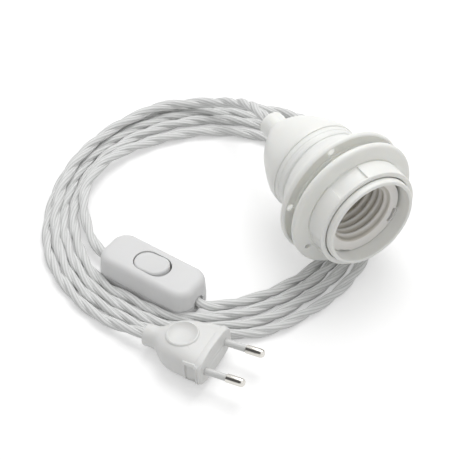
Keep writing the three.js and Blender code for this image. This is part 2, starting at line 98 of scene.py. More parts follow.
class Finish(Enum):
    """The set's finishes, each with the slot that it stands for."""

    HOLDER = ("holder_plastic", Slot.WHITE)
    # Glowing finish for the discs in the back ring's vents: a painted glow that stands in for light
    # seen through them.
    WEB = ("vent_web_plastic", Slot.WHITE)
    SOCKET = ("socket_plastic", Slot.IVORY)
    SWITCH = ("switch_plastic", Slot.SWITCH)
    # The plug's copy of the white plastic, darker than the holder's: painted shade.
    PLUG = ("plug_plastic", Slot.WHITE)
    SLEEVE = ("sleeve_plastic", Slot.SWITCH)
    NICKEL = ("nickel_plate", Slot.NICKEL)
    BRASS = ("spring_brass", Slot.BRASS)
    CORD = ("twisted_textile", Slot.TEXTILE)


class Grip(Enum):
    """Ways that a carving tool acts on a piece."""

    CUT = "DIFFERENCE"
    JOIN = "UNION"
    COMMON = "INTERSECT"


# Node groups


def new_group(name: str, inputs: dict[str, str], outputs: dict[str, str]) -> bpy.types.NodeTree:
    """Makes an empty shader group with its sockets.

    Args:
        name: The group's name.
        inputs: Socket name to short type, for what goes in.
        outputs: Socket name to short type, for what comes out.

    Returns:
        The new group, with its input and output nodes.
    """
    tree = bpy.data.node_groups.new(name, "ShaderNodeTree")
    for sockets, way in ((inputs, "INPUT"), (outputs, "OUTPUT")):
        for label, kind in sockets.items():
            tree.interface.new_socket(name=label, in_out=way, socket_type=f"NodeSocket{kind}")
    tree.nodes.new("NodeGroupInput").name = "in"
    tree.nodes.new("NodeGroupOutput").name = "out"
    return tree


@dataclass
class Wiring:
    """Adds nodes to a tree and joins them."""

    tree: bpy.types.NodeTree

    def feed(self, node: bpy.types.Node, sources: dict) -> None:
        """Gives a node's inputs, by name or number, a socket to follow or a plain value."""
        for label, value in sources.items():
            if isinstance(value, Socket):
                self.tree.links.new(value, node.inputs[label])
            else:
                node.inputs[label].default_value = value

    def node(self, kind: str, sources: dict | None = None, **settings: object) -> bpy.types.Node:
        """Adds one node.

        Args:
            kind: The node's type without its ShaderNode prefix.
            sources: Input name or number to a socket or a plain value.
            settings: Properties of the node.

        Returns:
            The new node.
        """
        made = self.tree.nodes.new(f"ShaderNode{kind}")
        for label, value in settings.items():
            setattr(made, label, value)
        self.feed(made, sources or {})
        return made

    def maths(self, operation: str, *values: object) -> Socket:
        """Adds a Math node and returns its result."""
        return self.node("Math", dict(enumerate(values)), operation=operation).outputs[0]

    def noise(
        self, vector: Socket, scale: float | Socket, detail: float, roughness: float = 0.5
    ) -> Socket:
        """Adds a noise texture and returns its value."""
        sources = {"Vector": vector, "Scale": scale, "Detail": detail, "Roughness": roughness}
        return self.node("TexNoise", sources).outputs["Fac"]

    def remap(
        self, value: Socket, low: float, high: float, first: float = 0.0, last: float = 1.0
    ) -> Socket:
        """Maps the span from low to high onto that from first to last, clamped to it."""
        spans = {"From Min": low, "From Max": high, "To Min": first, "To Max": last}
        return self.node("MapRange", {"Value": value, **spans}, clamp=True).outputs["Result"]

    def blend(self, first: Colour | Socket, second: Colour, factor: Socket) -> Socket:
        """Mixes two colours and returns the result."""
        start = first if isinstance(first, Socket) else (*first, 1.0)
        sources = {"A": start, "B": (*second, 1.0), "Factor": factor}
        return self.node("Mix", sources, data_type="RGBA").outputs["Result"]

    def bump(self, strength: float, distance: float, height: Socket) -> Socket:
        """Adds a Bump node and returns its normal."""
        sources = {"Strength": strength, "Distance": distance, "Height": height}
        return self.node("Bump", sources).outputs["Normal"]

    def ends(self) -> tuple[bpy.types.Node, bpy.types.Node]:
        """Returns the group's input and output nodes."""
        return self.tree.nodes["in"], self.tree.nodes["out"]


def moulding_grain() -> bpy.types.NodeTree:
    """Makes the shared group for moulded plastic: soft waviness, fine grain and a little dust.

    Returns:
        A group with Vector and Scale in, and Tone, Dust and Height out.
    """
    tree = new_group(
        "moulding_grain",
        {"Vector": "Vector", "Scale": "Float"},
        {"Tone": "Float", "Dust": "Float", "Height": "Float"},
    )
    wire = Wiring(tree)
    start, end = wire.ends()
    vector, scale = start.outputs["Vector"], start.outputs["Scale"]
    coarse = wire.noise(vector, 55.0, 3.0)
    fine = wire.noise(vector, scale, 5.0, 0.6)
    speck = wire.noise(vector, 2600.0, 2.0)
    height = wire.maths("MULTIPLY_ADD", coarse, 0.7, fine)
    wire.feed(end, {"Tone": coarse, "Dust": wire.remap(speck, 0.66, 0.76), "Height": height})
    return tree


def yarn_cover_and_groove_shade() -> bpy.types.NodeTree:
    """Makes the shared group for a cover of yarns, with painted shade between the yarns, from a map
    of millimetres along and turns round.

    Returns:
        A group with UV, Pitch and Yarns in, and Height and Tone out; Tone is darker in the grooves
        between yarns, which is painted shade, and varies at random with streaks and blotches.
    """
    tree = new_group(
        "yarn_cover_and_groove_shade",
        {"UV": "Vector", "Pitch": "Float", "Yarns": "Float"},
        {"Height": "Float", "Tone": "Float"},
    )
    wire = Wiring(tree)
    start, end = wire.ends()
    spot = start.outputs["UV"]
    split = wire.node("SeparateXYZ", {"Vector": spot})
    around = wire.maths("MULTIPLY", split.outputs["Y"], start.outputs["Yarns"])
    crown = wire.maths("COSINE", wire.maths("MULTIPLY", around, math.tau))
    round_yarn = wire.maths("MULTIPLY_ADD", crown, 0.5, 0.5)
    along = wire.maths("DIVIDE", split.outputs["X"], start.outputs["Pitch"])
    plied = wire.maths("SINE", wire.maths("MULTIPLY", wire.maths("ADD", along, around), math.tau))
    stretched = wire.node(
        "Mapping", {"Vector": spot, "Scale": (0.22, 34.0, 1.0)}, vector_type="POINT"
    )
    fibres = wire.noise(stretched.outputs["Vector"], 1.0, 4.0)
    blotches = wire.noise(spot, 0.09, 3.0)
    fuzzy = wire.maths("MULTIPLY_ADD", fibres, 1.1, round_yarn)
    mottled = wire.maths("MULTIPLY_ADD", blotches, 0.5, -0.25)
    streaked = wire.maths("MULTIPLY_ADD", fibres, 0.9, mottled)
    # Tone falls towards the grooves between yarns: painted shade, mixed with the random streaks and
    # blotches.
    soft = wire.maths("POWER", round_yarn, 0.45)
    tone = wire.maths("MULTIPLY", soft, wire.maths("ADD", streaked, 0.45))
    wire.feed(end, {"Height": wire.maths("MULTIPLY_ADD", plied, 0.12, fuzzy), "Tone": tone})
    return tree


def brushed_metal() -> bpy.types.NodeTree:
    """Makes the shared group for plated and bare metal: faint drawing and handling marks.

    Returns:
        A group with Vector and Stretch in, and Tone and Height out.
    """
    tree = new_group(
        "brushed_metal",
        {"Vector": "Vector", "Stretch": "Vector"},
        {"Tone": "Float", "Height": "Float"},
    )
    wire = Wiring(tree)
    start, end = wire.ends()
    spot = start.outputs["Vector"]
    drawn = wire.node("VectorMath", {0: spot, 1: start.outputs["Stretch"]}, operation="MULTIPLY")
    marks = wire.noise(drawn.outputs["Vector"], 1.0, 4.0)
    wire.feed(end, {"Height": marks, "Tone": wire.noise(spot, 420.0, 3.0)})
    return tree


@dataclass
class Effects:
    """The shader groups that several finishes share, each built once."""

    grain: bpy.types.NodeTree = field(default_factory=moulding_grain)
    yarn: bpy.types.NodeTree = field(default_factory=yarn_cover_and_groove_shade)
    brushed: bpy.types.NodeTree = field(default_factory=brushed_metal)


# Finishes


def blank_material(
    name: str, settings: dict[str, object]
) -> tuple[bpy.types.Material, Wiring, bpy.types.Node]:
    """Makes a material that holds one shader.

    Args:
        name: The material's name.
        settings: Plain values for the shader's own sockets.

    Returns:
        The material, its wiring and its shader node.
    """
    material = bpy.data.materials.new(name)
    material.use_nodes = True
    wire = Wiring(material.node_tree)
    shader = material.node_tree.nodes["Principled BSDF"]
    wire.feed(shader, settings)
    return material, wire, shader


@dataclass(frozen=True)
class PaintedFurrowShade:
    """Painted shade in the furrows of a thread about the Y axis, between two radii in metres."""

    crest: float
    root: float
    furrow_shade_colour: Colour

    def paint_shade(self, wire: Wiring, vector: Socket, colour: Socket) -> Socket:
        """Paints shade into a colour where the thread is deep, but not outside the thread.

        Args:
            wire: The material's wiring.
            vector: Place on the surface, in metres.
            colour: The colour of the crests.

        Returns:
            The colour with painted shade in its furrows.
        """
        split = wire.node("SeparateXYZ", {"Vector": vector})
        flat = wire.node("CombineXYZ", {"X": split.outputs["X"], "Z": split.outputs["Z"]})
        length = wire.node("VectorMath", {0: flat.outputs["Vector"]}, operation="LENGTH")
        reach = length.outputs["Value"]
        deep = wire.remap(reach, self.crest, self.root)
        within = wire.remap(reach, self.root + 0.6 * MM, self.root + 1.0 * MM, 1.0, 0.0)
        return wire.blend(colour, self.furrow_shade_colour, wire.maths("MULTIPLY", deep, within))


@dataclass(frozen=True)
class MouldedPlastic:
    """A moulded thermoplastic with a soft sheen."""

    light: Colour
    shade: Colour
    roughness: float
    grain: float = 900.0
    bump: float = 0.08
    glow: float = 0.3
    # Emission strength: a painted glow, above zero only for the vent discs.
    lit: float = 0.0
    painted_furrow_shade: PaintedFurrowShade | None = None

    def build(self, name: str, effects: Effects) -> bpy.types.Material:
        """Builds the finish under a name and returns its material."""
        material, wire, shader = blank_material(
            name,
            {
                "IOR": 1.49,
                "Specular IOR Level": 0.42,
                "Subsurface Weight": self.glow,
                "Subsurface Radius": (1.0, 0.9, 0.75),
                "Subsurface Scale": 0.0028,
                # The emission is a painted glow, switched on only for the vent discs.
                "Emission Color": (1.0, 1.0, 0.98, 1.0),
                "Emission Strength": self.lit,
            },
        )
        place = wire.node("TexCoord").outputs["Object"]
        grain = wire.node("Group", node_tree=effects.grain)
        wire.feed(grain, {"Vector": place, "Scale": self.grain})
        tone, dust, height = (grain.outputs[label] for label in ("Tone", "Dust", "Height"))
        colour = wire.blend(self.light, self.shade, tone)
        # Painted shade in the thread's furrows, for the socket finish only.
        if self.painted_furrow_shade:
            colour = self.painted_furrow_shade.paint_shade(wire, place, colour)
        rough = wire.maths("MULTIPLY_ADD", tone, 0.12, self.roughness - 0.06)
        dusty = wire.maths("MULTIPLY_ADD", dust, 0.18, rough)
        normal = wire.bump(self.bump, 0.0002, height)
        wire.feed(shader, {"Base Color": colour, "Roughness": dusty, "Normal": normal})
        return material


@dataclass(frozen=True)
class TwistedTextile:
    """A pale textile cover of soft yarns that lie along each core of the cord, with painted shade
    in the grooves between the yarns.
    """

    light: Colour
    shade: Colour
    pitch: float = 1.5
    yarns: float = 7.0

    def build(self, name: str, effects: Effects) -> bpy.types.Material:
        """Builds the finish under a name and returns its material."""
        material, wire, shader = blank_material(
            name,
            {
                "Roughness": 0.86,
                "Specular IOR Level": 0.22,
                "Sheen Weight": 0.35,
                "Sheen Roughness": 0.45,
            },
        )
        lie = wire.node("UVMap", uv_map="cover").outputs["UV"]
        yarn = wire.node("Group", node_tree=effects.yarn)
        wire.feed(yarn, {"UV": lie, "Pitch": self.pitch, "Yarns": self.yarns})
        # Darker in the grooves between yarns, which is painted shade, and in random streaks and
        # blotches.
        factor = wire.remap(yarn.outputs["Tone"], 0.2, 0.85)
        colour = wire.blend(self.shade, self.light, factor)
        normal = wire.bump(0.42, 0.0003, yarn.outputs["Height"])
        wire.feed(shader, {"Base Color": colour, "Normal": normal})
        return material


@dataclass(frozen=True)
class DrawnMetal:
    """A plated or bare metal with faint drawing marks."""

    light: Colour
    shade: Colour
    roughness: float
    stretch: Point = (900.0, 900.0, 900.0)

    def build(self, name: str, effects: Effects) -> bpy.types.Material:
        """Builds the finish under a name and returns its material."""
        material, wire, shader = blank_material(name, {"Metallic": 1.0})
        marks = wire.node("Group", node_tree=effects.brushed)
        place = wire.node("TexCoord").outputs["Object"]
        wire.feed(marks, {"Vector": place, "Stretch": self.stretch})
        tone = marks.outputs["Tone"]
        colour = wire.blend(self.light, self.shade, tone)
        rough = wire.maths("MULTIPLY_ADD", tone, 0.14, self.roughness - 0.07)
        normal = wire.bump(0.12, 0.00005, marks.outputs["Height"])
        wire.feed(shader, {"Base Color": colour, "Roughness": rough, "Normal": normal})
        return material


@dataclass
class Finishes:
    """Every material of the set."""

    effects: Effects = field(default_factory=Effects)
    made: dict[Finish, bpy.types.Material] = field(default_factory=dict)

    def build(self) -> None:
        """Builds one material for each finish."""
        # The socket finish gets painted shade in its thread furrows, darker towards the root.
        thread = {"painted_furrow_shade": PaintedFurrowShade(0.0137, 0.0145, (0.66, 0.63, 0.57))}
        satin = {"grain": 1500.0, "bump": 0.14, "glow": 0.1}
        fine = {"grain": 1200.0, "bump": 0.1, "glow": 0.2}
        gloss = {"grain": 1500.0, "bump": 0.08, "glow": 0.1}
        plastics = (
            (Finish.HOLDER, (0.915, 0.917, 0.885), (0.885, 0.887, 0.85), 0.36, {}),
            (Finish.SOCKET, (0.92, 0.90, 0.87), (0.89, 0.87, 0.83), 0.42, thread),
            # The vent discs' finish glows: painted light seen through the vents.
            (Finish.WEB, (0.93, 0.93, 0.91), (0.91, 0.91, 0.89), 0.4, {"lit": 0.3}),
            (Finish.SWITCH, (0.76, 0.76, 0.76), (0.73, 0.73, 0.73), 0.5, satin),
            # The plug's white plastic is darker than the holder's, as painted shade that evens out
            # the stronger light on the plug.
            (Finish.PLUG, (0.795, 0.795, 0.785), (0.765, 0.765, 0.75), 0.4, fine),
            (Finish.SLEEVE, (0.74, 0.74, 0.725), (0.70, 0.70, 0.685), 0.34, gloss),
        )
        recipes = {
            finish: MouldedPlastic(light, shade, roughness, **extra)
            for finish, light, shade, roughness, extra in plastics
        }
        recipes[Finish.NICKEL] = DrawnMetal((0.78, 0.76, 0.72), (0.66, 0.64, 0.60), 0.16)
        recipes[Finish.BRASS] = DrawnMetal((0.72, 0.56, 0.28), (0.60, 0.44, 0.20), 0.34)
        recipes[Finish.CORD] = TwistedTextile((0.84, 0.845, 0.84), (0.64, 0.645, 0.635))
        for finish, recipe in recipes.items():
            self.made[finish] = recipe.build(finish.value[0], self.effects)

    def dress(self, piece: Piece, finish: Finish) -> None:
        """Gives a piece one finish."""
        piece.data.materials.clear()
        piece.data.materials.append(self.made[finish])


# Mesh helpers: everything is built in millimetres and delivered in metres


def link(mesh_builder: bmesh.types.BMesh, name: str) -> Piece:
    """Turns a finished bmesh into an object of the scene, still in millimetres."""
    mesh = bpy.data.meshes.new(name)
    mesh_builder.to_mesh(mesh)
    mesh_builder.free()
    piece = bpy.data.objects.new(name, mesh)
    bpy.context.scene.collection.objects.link(piece)
    return piece


def close_up(bm: bmesh.types.BMesh) -> None:
    """Merges a mesh's doubles and turns its faces outwards."""
    bmesh.ops.remove_doubles(bm, verts=bm.verts, dist=1e-4)
    bmesh.ops.recalc_face_normals(bm, faces=bm.faces)


def outline(
    bm: bmesh.types.BMesh, corners: Iterable[Corner]
) -> list[bmesh.types.BMVert | bmesh.types.BMEdge]:
    """Draws a profile with rounded corners, closed unless it starts on the axis.

    Args:
        bm: The bmesh to draw in.
        corners: Radius, station along Y and rounding of each corner.

    Returns:
        The profile's vertices and edges.
    """
    rows = list(corners)
    dots = [bm.verts.new((radius, station, 0.0)) for radius, station, _ in rows]
    for first, second in zip(dots, dots[1:]):
        bm.edges.new((first, second))
    if rows[0][0] > 0:
        bm.edges.new((dots[-1], dots[0]))
    by_size: dict[float, list[bmesh.types.BMVert]] = {}
    for dot, (_, _, rounding) in zip(dots, rows):
        if rounding > 0:
            by_size.setdefault(rounding, []).append(dot)
    for rounding, chosen in by_size.items():
        soften(bm, chosen, rounding, 4, "VERTICES")
    return [*bm.verts, *bm.edges]


def turned(name: str, corners: Iterable[Corner], steps: int = 96) -> Piece:
    """Turns a profile about the holder's axis, Y.

    Args:
        name: The piece's name.
        corners: Radius, station and rounding of each corner, all round or from axis to axis.
        steps: Steps in the full turn.

    Returns:
        The turned piece, in millimetres.
    """
    bm = bmesh.new()
    profile = outline(bm, corners)
    bmesh.ops.spin(
        bm,
        geom=profile,
        cent=(0, 0, 0),
        axis=(0, 1, 0),
        angle=math.tau,
        steps=steps,
        use_merge=True,
    )
    close_up(bm)
    return link(bm, name)


def swept(
    name: str,
    section: Iterable[tuple[float, float]],
    start: float,
    turn: float,
    steps: int,
    rise: float = 0.0,
) -> Piece:
    """Sweeps a closed section about Y.

    Args:
        name: The piece's name.
        section: Radius and station of the section's corners.
        start: Angle at which it starts, in degrees from +X towards -Z.
        turn: How far it turns, in degrees.
        steps: Steps in the sweep.
        rise: How far each step moves along Y.

    Returns:
        The swept piece, in millimetres.
    """
    bm = bmesh.new()
    face = bm.faces.new([bm.verts.new((radius, station, 0)) for radius, station in section])
    aim = Matrix.Rotation(math.radians(start), 3, "Y")
    bmesh.ops.rotate(bm, verts=bm.verts, cent=(0, 0, 0), matrix=aim)
    bmesh.ops.spin(
        bm,
        geom=[face, *face.edges, *face.verts],
        cent=(0, 0, 0),
        axis=(0, 1, 0),
        dvec=(0, rise, 0),
        angle=math.radians(turn),
        steps=steps,
    )
    close_up(bm)
    return link(bm, name)


def sector(name: str, span: Sequence[float], front: float, back: float) -> Piece:
    """Makes a block that fills a sector of a ring about Y.

    Args:
        name: The piece's name.
        span: Inner and outer radius, then first and last angle in degrees from +X towards +Z.
        front: Station of the front face.
        back: Station of the back face.

    Returns:
        The block, in millimetres.
    """
    inner, outer, start, end = span
    section = ((inner, front), (outer, front), (outer, back), (inner, back))
    return swept(name, section, -start, start - end, max(6, int((end - start) / 3)))


def rod(name: str, radius: float, start: Vector, end: Vector, sides: int = 32) -> Piece:
    """Makes a round rod between two points.

    Args:
        name: The piece's name.
        radius: The rod's radius.
        start: Centre of one end.
        end: Centre of the other end.
        sides: Sides of its section.

    Returns:
        The rod, in millimetres.
    """
    bm = bmesh.new()
    span = end - start
    turn = span.to_track_quat("Z", "Y").to_matrix().to_4x4()
    bmesh.ops.create_cone(
        bm,
        cap_ends=True,
        segments=sides,
        radius1=radius,
        radius2=radius,
        depth=span.length,
        matrix=Matrix.Translation((start + end) / 2) @ turn,
    )
    return link(bm, name)


def slab(name: str, size: Point, centre: Point, corner: float = 0.0, edge: float = 0.0) -> Piece:
    """Makes a block with rounded upright edges and a softened top.

    Args:
        name: The piece's name.
        size: Length, width and height.
        centre: The block's centre.
        corner: Rounding of the upright edges.
        edge: Rounding of the top edges.

    Returns:
        The block, in millimetres.
    """
    bm = bmesh.new()
    bmesh.ops.create_cube(bm, size=1.0)
    bmesh.ops.scale(bm, vec=size, verts=bm.verts)
    if corner > 0:
        upright = [e for e in bm.edges if abs(e.verts[0].co.z - e.verts[1].co.z) > size[2] / 2]
        soften(bm, upright, corner, 10)
    if edge > 0:
        top = size[2] / 2 - 1e-4
        soften(bm, [e for e in bm.edges if min(v.co.z for v in e.verts) > top], edge, 5)
    bmesh.ops.translate(bm, vec=centre, verts=bm.verts)
    return link(bm, name)


def soften(
    bm: bmesh.types.BMesh,
    chosen: Sequence[bmesh.types.BMEdge | bmesh.types.BMVert],
    amount: float,
    segments: int,
    affect: str = "EDGES",
) -> None:
    """Rounds some edges of a bmesh, or some corners of a profile.

    Args:
        bm: The bmesh that holds them.
        chosen: The edges or vertices.
        amount: Size of the rounding.
        segments: Steps in the rounding.
        affect: EDGES or VERTICES.
    """
    bmesh.ops.bevel(
        bm,
        geom=list(chosen),
        offset=amount,
        offset_type="OFFSET",
        segments=segments,
        profile=0.5,
        affect=affect,
        clamp_overlap=True,
        material=-1,
    )


@contextmanager
def editing(piece: Piece) -> Iterator[bmesh.types.BMesh]:
    """Opens a piece's mesh for bmesh operators and writes it back afterwards."""
    bm = bmesh.new()
    bm.from_mesh(piece.data)
    yield bm
    bm.to_mesh(piece.data)
    bm.free()


def settle(piece: Piece) -> None:
    """Applies a piece's modifiers to its mesh."""
    graph = bpy.context.evaluated_depsgraph_get()
    mesh = bpy.data.meshes.new_from_object(piece.evaluated_get(graph))
    old = piece.data
    piece.modifiers.clear()
    piece.data = mesh
    bpy.data.meshes.remove(old)


def carve(piece: Piece, tools: Sequence[Piece], grip: Grip = Grip.CUT) -> None:
    """Cuts tools from a piece, or joins them to it, and removes the tools.

    Args:
        piece: The piece that is changed.
        tools: The shapes that act on it.
        grip: Whether they cut, join, or keep what is common.
    """
    for tool in tools:
        modifier = piece.modifiers.new("carve", "BOOLEAN")
        modifier.operation = grip.value
        modifier.solver = "EXACT"
        modifier.object = tool
    settle(piece)
    for tool in tools:
        mesh = tool.data
        bpy.data.objects.remove(tool)
        bpy.data.meshes.remove(mesh)


def break_edges(piece: Piece, width: float, limit: float = 50.0) -> None:
    """Takes the sharpness off a piece's corners."""
    modifier = piece.modifiers.new("break", "BEVEL")
    modifier.width = width
    modifier.segments = 2
    modifier.limit_method = "ANGLE"
    modifier.angle_limit = math.radians(limit)
    modifier.use_clamp_overlap = True
    settle(piece)


def smooth_faces(piece: Piece, limit: float) -> None:
    """Shades a piece smooth, apart from edges sharper than the limit in degrees."""
    crisp = math.radians(limit)
    with editing(piece) as bm:
        for face in bm.faces:
            face.smooth = True
        for edge in bm.edges:
            edge.smooth = len(edge.link_faces) == 2 and edge.calc_face_angle(0.0) < crisp


def smooth_line(points: Sequence[Sequence[float]], spacing: float) -> list[Vector]:
    """Draws one smooth line through points and places stations along it at an even spacing.

    Args:
        points: The points that the line passes through.
        spacing: Distance between stations.

    Returns:
        The stations, from the first point to the last.
    """
    knots = [Vector(p) for p in points]
    knots = [2 * knots[0] - knots[1], *knots, 2 * knots[-1] - knots[-2]]
    dense: list[Vector] = []
    for a, b, c, d in zip(knots, knots[1:], knots[2:], knots[3:]):
        count = max(4, int((c - b).length / (spacing * 0.4)))
        for i in range(count):
            t = i / count
            bend = (2 * a - 5 * b + 4 * c - d) * t * t
            twist = (3 * b - 3 * c + d - a) * t**3
            dense.append(0.5 * (2 * b + (c - a) * t + bend + twist))
    dense.append(knots[-2].copy())
    reach = [0.0]
    for first, second in zip(dense, dense[1:]):
        reach.append(reach[-1] + (second - first).length)
    count = max(2, round(reach[-1] / spacing))
    line, at = [], 0
    for i in range(count + 1):
        target = reach[-1] * i / count
        while at < len(reach) - 2 and reach[at + 1] < target:
            at += 1
        step = reach[at + 1] - reach[at]
        line.append(dense[at].lerp(dense[at + 1], (target - reach[at]) / step if step else 0.0))
    return line


def flowing(points: Sequence[tuple[float, float]], spacing: float = 0.7) -> list[Corner]:
    """Draws a smooth part of a profile through points of radius and station."""
    line = smooth_line([(radius, station, 0) for radius, station in points], spacing)
    return [(spot.x, spot.y, 0.0) for spot in line]


@dataclass
class Bench:
    """Delivers finished pieces into the frame: scale, place, shading, material and body, and hides
    the nodes that they replace.
    """

    finishes: Finishes
    count: int = 0

    def deliver(
        self,
        piece: Piece,
        finish: Finish,
        body: Body = Body.FIXED,
        replaces: Sequence[str] = (),
        place: Matrix | None = None,
        limit: float = CRISP,
    ) -> Piece:
        """Finishes one piece.

        Args:
            piece: The piece, in millimetres.
            finish: Its finish.
            body: The body that it rides on.
            replaces: The nodes that it stands for.
            place: Its place in the set, if it was built somewhere else.
            limit: Edges sharper than this many degrees stay crisp.

        Returns:
            The same piece, in metres and dressed.
        """
        piece.data.transform(Matrix.Scale(MM, 4) @ (place or Matrix.Identity(4)))
        smooth_faces(piece, limit)
        self.finishes.dress(piece, finish)
        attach(piece, body.value)
        if replaces:
            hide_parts(*replaces)
        self.count += 1
        LOG.info("%s: %d faces on %s", piece.name, len(piece.data.polygons), body.value)
        return piece


@dataclass
class Fitting:
    """A sub-assembly on the cord, built in its own frame, that keeps a list of its pieces."""

    bench: Bench
    pieces: list[Piece] = field(default_factory=list, kw_only=True)

    def place(self) -> Matrix:
        """Returns the fitting's place in the set."""
        raise NotImplementedError

    def keep(
        self,
        piece: Piece,
        finish: Finish,
        replaces: str,
        body: Body = Body.FIXED,
        local: Matrix | None = None,
        limit: float = CRISP,
    ) -> None:
        """Delivers one piece and keeps it.

        Args:
            piece: The piece, in millimetres.
            finish: Its finish.
            replaces: The node that it stands for.
            body: The body that it rides on.
            local: Its place in the fitting, if it was built somewhere else.
            limit: Edges sharper than this many degrees stay crisp.
        """
        place = self.place() @ (local or Matrix.Identity(4))
        self.pieces.append(self.bench.deliver(piece, finish, body, [replaces], place, limit))


# The lamp holder


@dataclass
class LampHolder:
    """The holder's shells, socket, contacts and shade rings, about the Y axis."""

    bench: Bench
    mouth: float = -32.0
    mouth_radius: float = 20.3
    skirt_radius: float = 22.3
    skirt_end: float = 11.0
    thread_pitch: float = 3.0
    thread_depth: float = 6.2
    thread_turns: float = 11.0
    thread_steps: int = 72
    nipple_end: float = 47.3
    nipple_bore: float = 4.5
    insert_radius: float = 20.0
    socket_depth: float = 6.5
    socket_wall: float = 16.9
    socket_root: float = 14.8
    socket_crest: float = 13.5
    socket_pitch: float = 3.63
    socket_turns: float = 6.0
    lamp_thread_depth: float = 9.3
    block_face: float = 3.0
    block_back: float = 7.0
    boss_back: float = 10.8
    edge_break: float = 0.16
    front_ring_depth: float = 3.4
    front_ring_length: float = 14.1
    back_ring_depth: float = 22.8
    back_ring_length: float = 11.7
    ring_bore: float = 22.6
    ring_radius: float = 31.7
    collar_radius: float = 23.8
    pad_radius: float = 24.9
    pad_sweep: float = 54.0
    first_pad: float = 154.0
    front_vent: tuple[float, float] = (-153.4, 27.1)
    front_vent_radius: float = 1.5
    back_vents: tuple[float, ...] = (102.5, 169.1, 282.5, 349.1)
    back_vent_circle: float = 28.0
    back_vent_radius: float = 1.75
    # Radius of the glowing discs in the back vents, which are painted light.
    glow_disc_radius: float = 1.85

    def build(self) -> None:
        """Builds every piece of the holder."""
        self.skirt()
        self.cap()
        self.socket()
        self.block()
        self.front_ring()
        self.back_ring()
        self.grip()

    def helix(
        self,
        name: str,
        profile: Sequence[tuple[float, float]],
        first: float,
        pitch: float,
        turns: float,
        start: float,
    ) -> Piece:
        """Winds a closed profile into a thread.

        Args:
            name: The piece's name.
            profile: Radius and station of the profile's corners, about the thread's start.
            first: Station of the thread's start.
            pitch: Advance in one turn.
            turns: Number of turns.
            start: Angle at which it starts, in degrees.

        Returns:
            The thread, in millimetres.
        """
        steps = int(self.thread_steps * turns)
        section = [(radius, station + first) for radius, station in profile]
        return swept(name, section, start, 360.0 * turns, steps, pitch * turns / steps)

    def post(
        self, name: str, radius: float, degrees: float, circle: float, front: float, back: float
    ) -> Piece:
        """Makes a rod along the axis.

        Args:
            name: The piece's name.
            radius: The rod's radius.
            degrees: Its angle about the axis.
            circle: Its distance from the axis.
            front: Station of its front end.
            back: Station of its back end.

        Returns:
            The rod, in millimetres.
        """
        angle = math.radians(degrees)
        spot = Vector((math.cos(angle), 0, math.sin(angle))) * circle
        return rod(name, radius, spot + Vector((0, front, 0)), spot + Vector((0, back, 0)))

    def skirt(self) -> None:
        """Builds the sleeve with its rounded mouth and its outer thread."""
        m, r, end = self.mouth, self.skirt_radius, self.skirt_end
        wall = turned(
            "holder_skirt",
            [
                (self.mouth_radius, m, 0.55), (r - 0.1, m, 0.8), (r, m + 3.2, 0.1),
                (r - 0.45, m + 3.7, 0.1), (r - 0.45, end - 2.4, 0.1), (r - 0.1, end - 2.0, 0.1),
                (r - 0.2, end + 0.2, 0.1), (self.mouth_radius, end + 0.2, 0.2),
            ],
        )
        self.bench.deliver(wall, Finish.HOLDER, replaces=["skirt"])
        p = self.thread_pitch
        ridge = [
            (r - 0.7, -0.4 * p), (r - 0.4, -0.36 * p), (r, -0.28 * p), (r + 0.16, -0.15 * p),
            (r + 0.2, 0.0), (r + 0.16, 0.15 * p), (r, 0.28 * p), (r - 0.4, 0.36 * p),
            (r - 0.7, 0.4 * p),
        ]
        first = m + self.thread_depth
        thread = self.helix("skirt_thread", ridge, first, p, self.thread_turns, 20.0)
        self.bench.deliver(thread, Finish.HOLDER)

    def cap(self) -> None:
        """Builds the domed cap with its nipple and bored end."""
        r = self.ring_bore
        shell = flowing(
            [
                (r, 11.9), (r - 0.15, 14.0), (r - 0.7, 16.6), (r - 3.1, 22.5), (r - 7.1, 29.8),
                (10.8, 35.4), (7.6, 38.3), (6.25, 40.1),
            ],
            1.1,
        )
        inside = [(x - 2.3, y - 1.2, 0.0) for x, y, _ in reversed(shell[2:-6])]
        cap = turned(
            "holder_cap",
            [
                (17.7, 7.3, 0.2), (self.insert_radius, 7.3, 0.3),
                (self.insert_radius, 11.3, 0.1), (r - 0.5, 11.3, 0.1), (r - 0.12, 11.5, 0.0),
                *shell,
                (6.15, 45.6, 0.0), (6.1, self.nipple_end, 1.3),
                (self.nipple_bore, self.nipple_end, 0.5), (self.nipple_bore, 37.3, 0.1),
                *inside,
            ],
        )
        self.bench.deliver(cap, Finish.HOLDER, replaces=["cap"], limit=30)

    def socket(self) -> None:
        """Builds the socket insert with its stepped slot and its rounded lamp thread."""
        front = self.mouth + self.socket_depth
        root, crest, p = self.socket_root, self.socket_crest, self.socket_pitch
        insert = turned(
            "lamp_socket",
            [
                (root, front + 1.6, 0.3), (15.3, front + 0.9, 0.3), (16.5, front + 0.5, 0.3),
                (19.2, front + 0.05, 0.3), (self.insert_radius, front + 0.2, 0.3),
                (self.insert_radius, front + 2.9, 0.2), (self.socket_wall, front + 2.9, 0.4),
                (self.socket_wall, 2.7, 0.2), (root, 2.7, 0.2),
            ],
        )
        spans = ((18.9, 21.0, -16, 32), (17.5, 19.2, -40, -17), (19.2, 21.0, -128, -110))
        carve(insert, [sector("slot", span, front - 1, front + 3.1) for span in spans])
        self.bench.deliver(insert, Finish.SOCKET, replaces=["socket"])
        wave = []
        for i in range(13):
            phase = -math.pi / 2 + math.pi * i / 12
            height = (root - crest) * math.cos(phase) ** 3.8
            wave.append((root - height, 0.46 * p * math.sin(phase)))
        wave += [(root + 0.5, 0.47 * p), (root + 0.5, -0.47 * p)]
        first = self.mouth + self.lamp_thread_depth
        thread = self.helix("lamp_thread", wave, first, p, self.socket_turns, -60.0)
        self.bench.deliver(thread, Finish.SOCKET, limit=50)

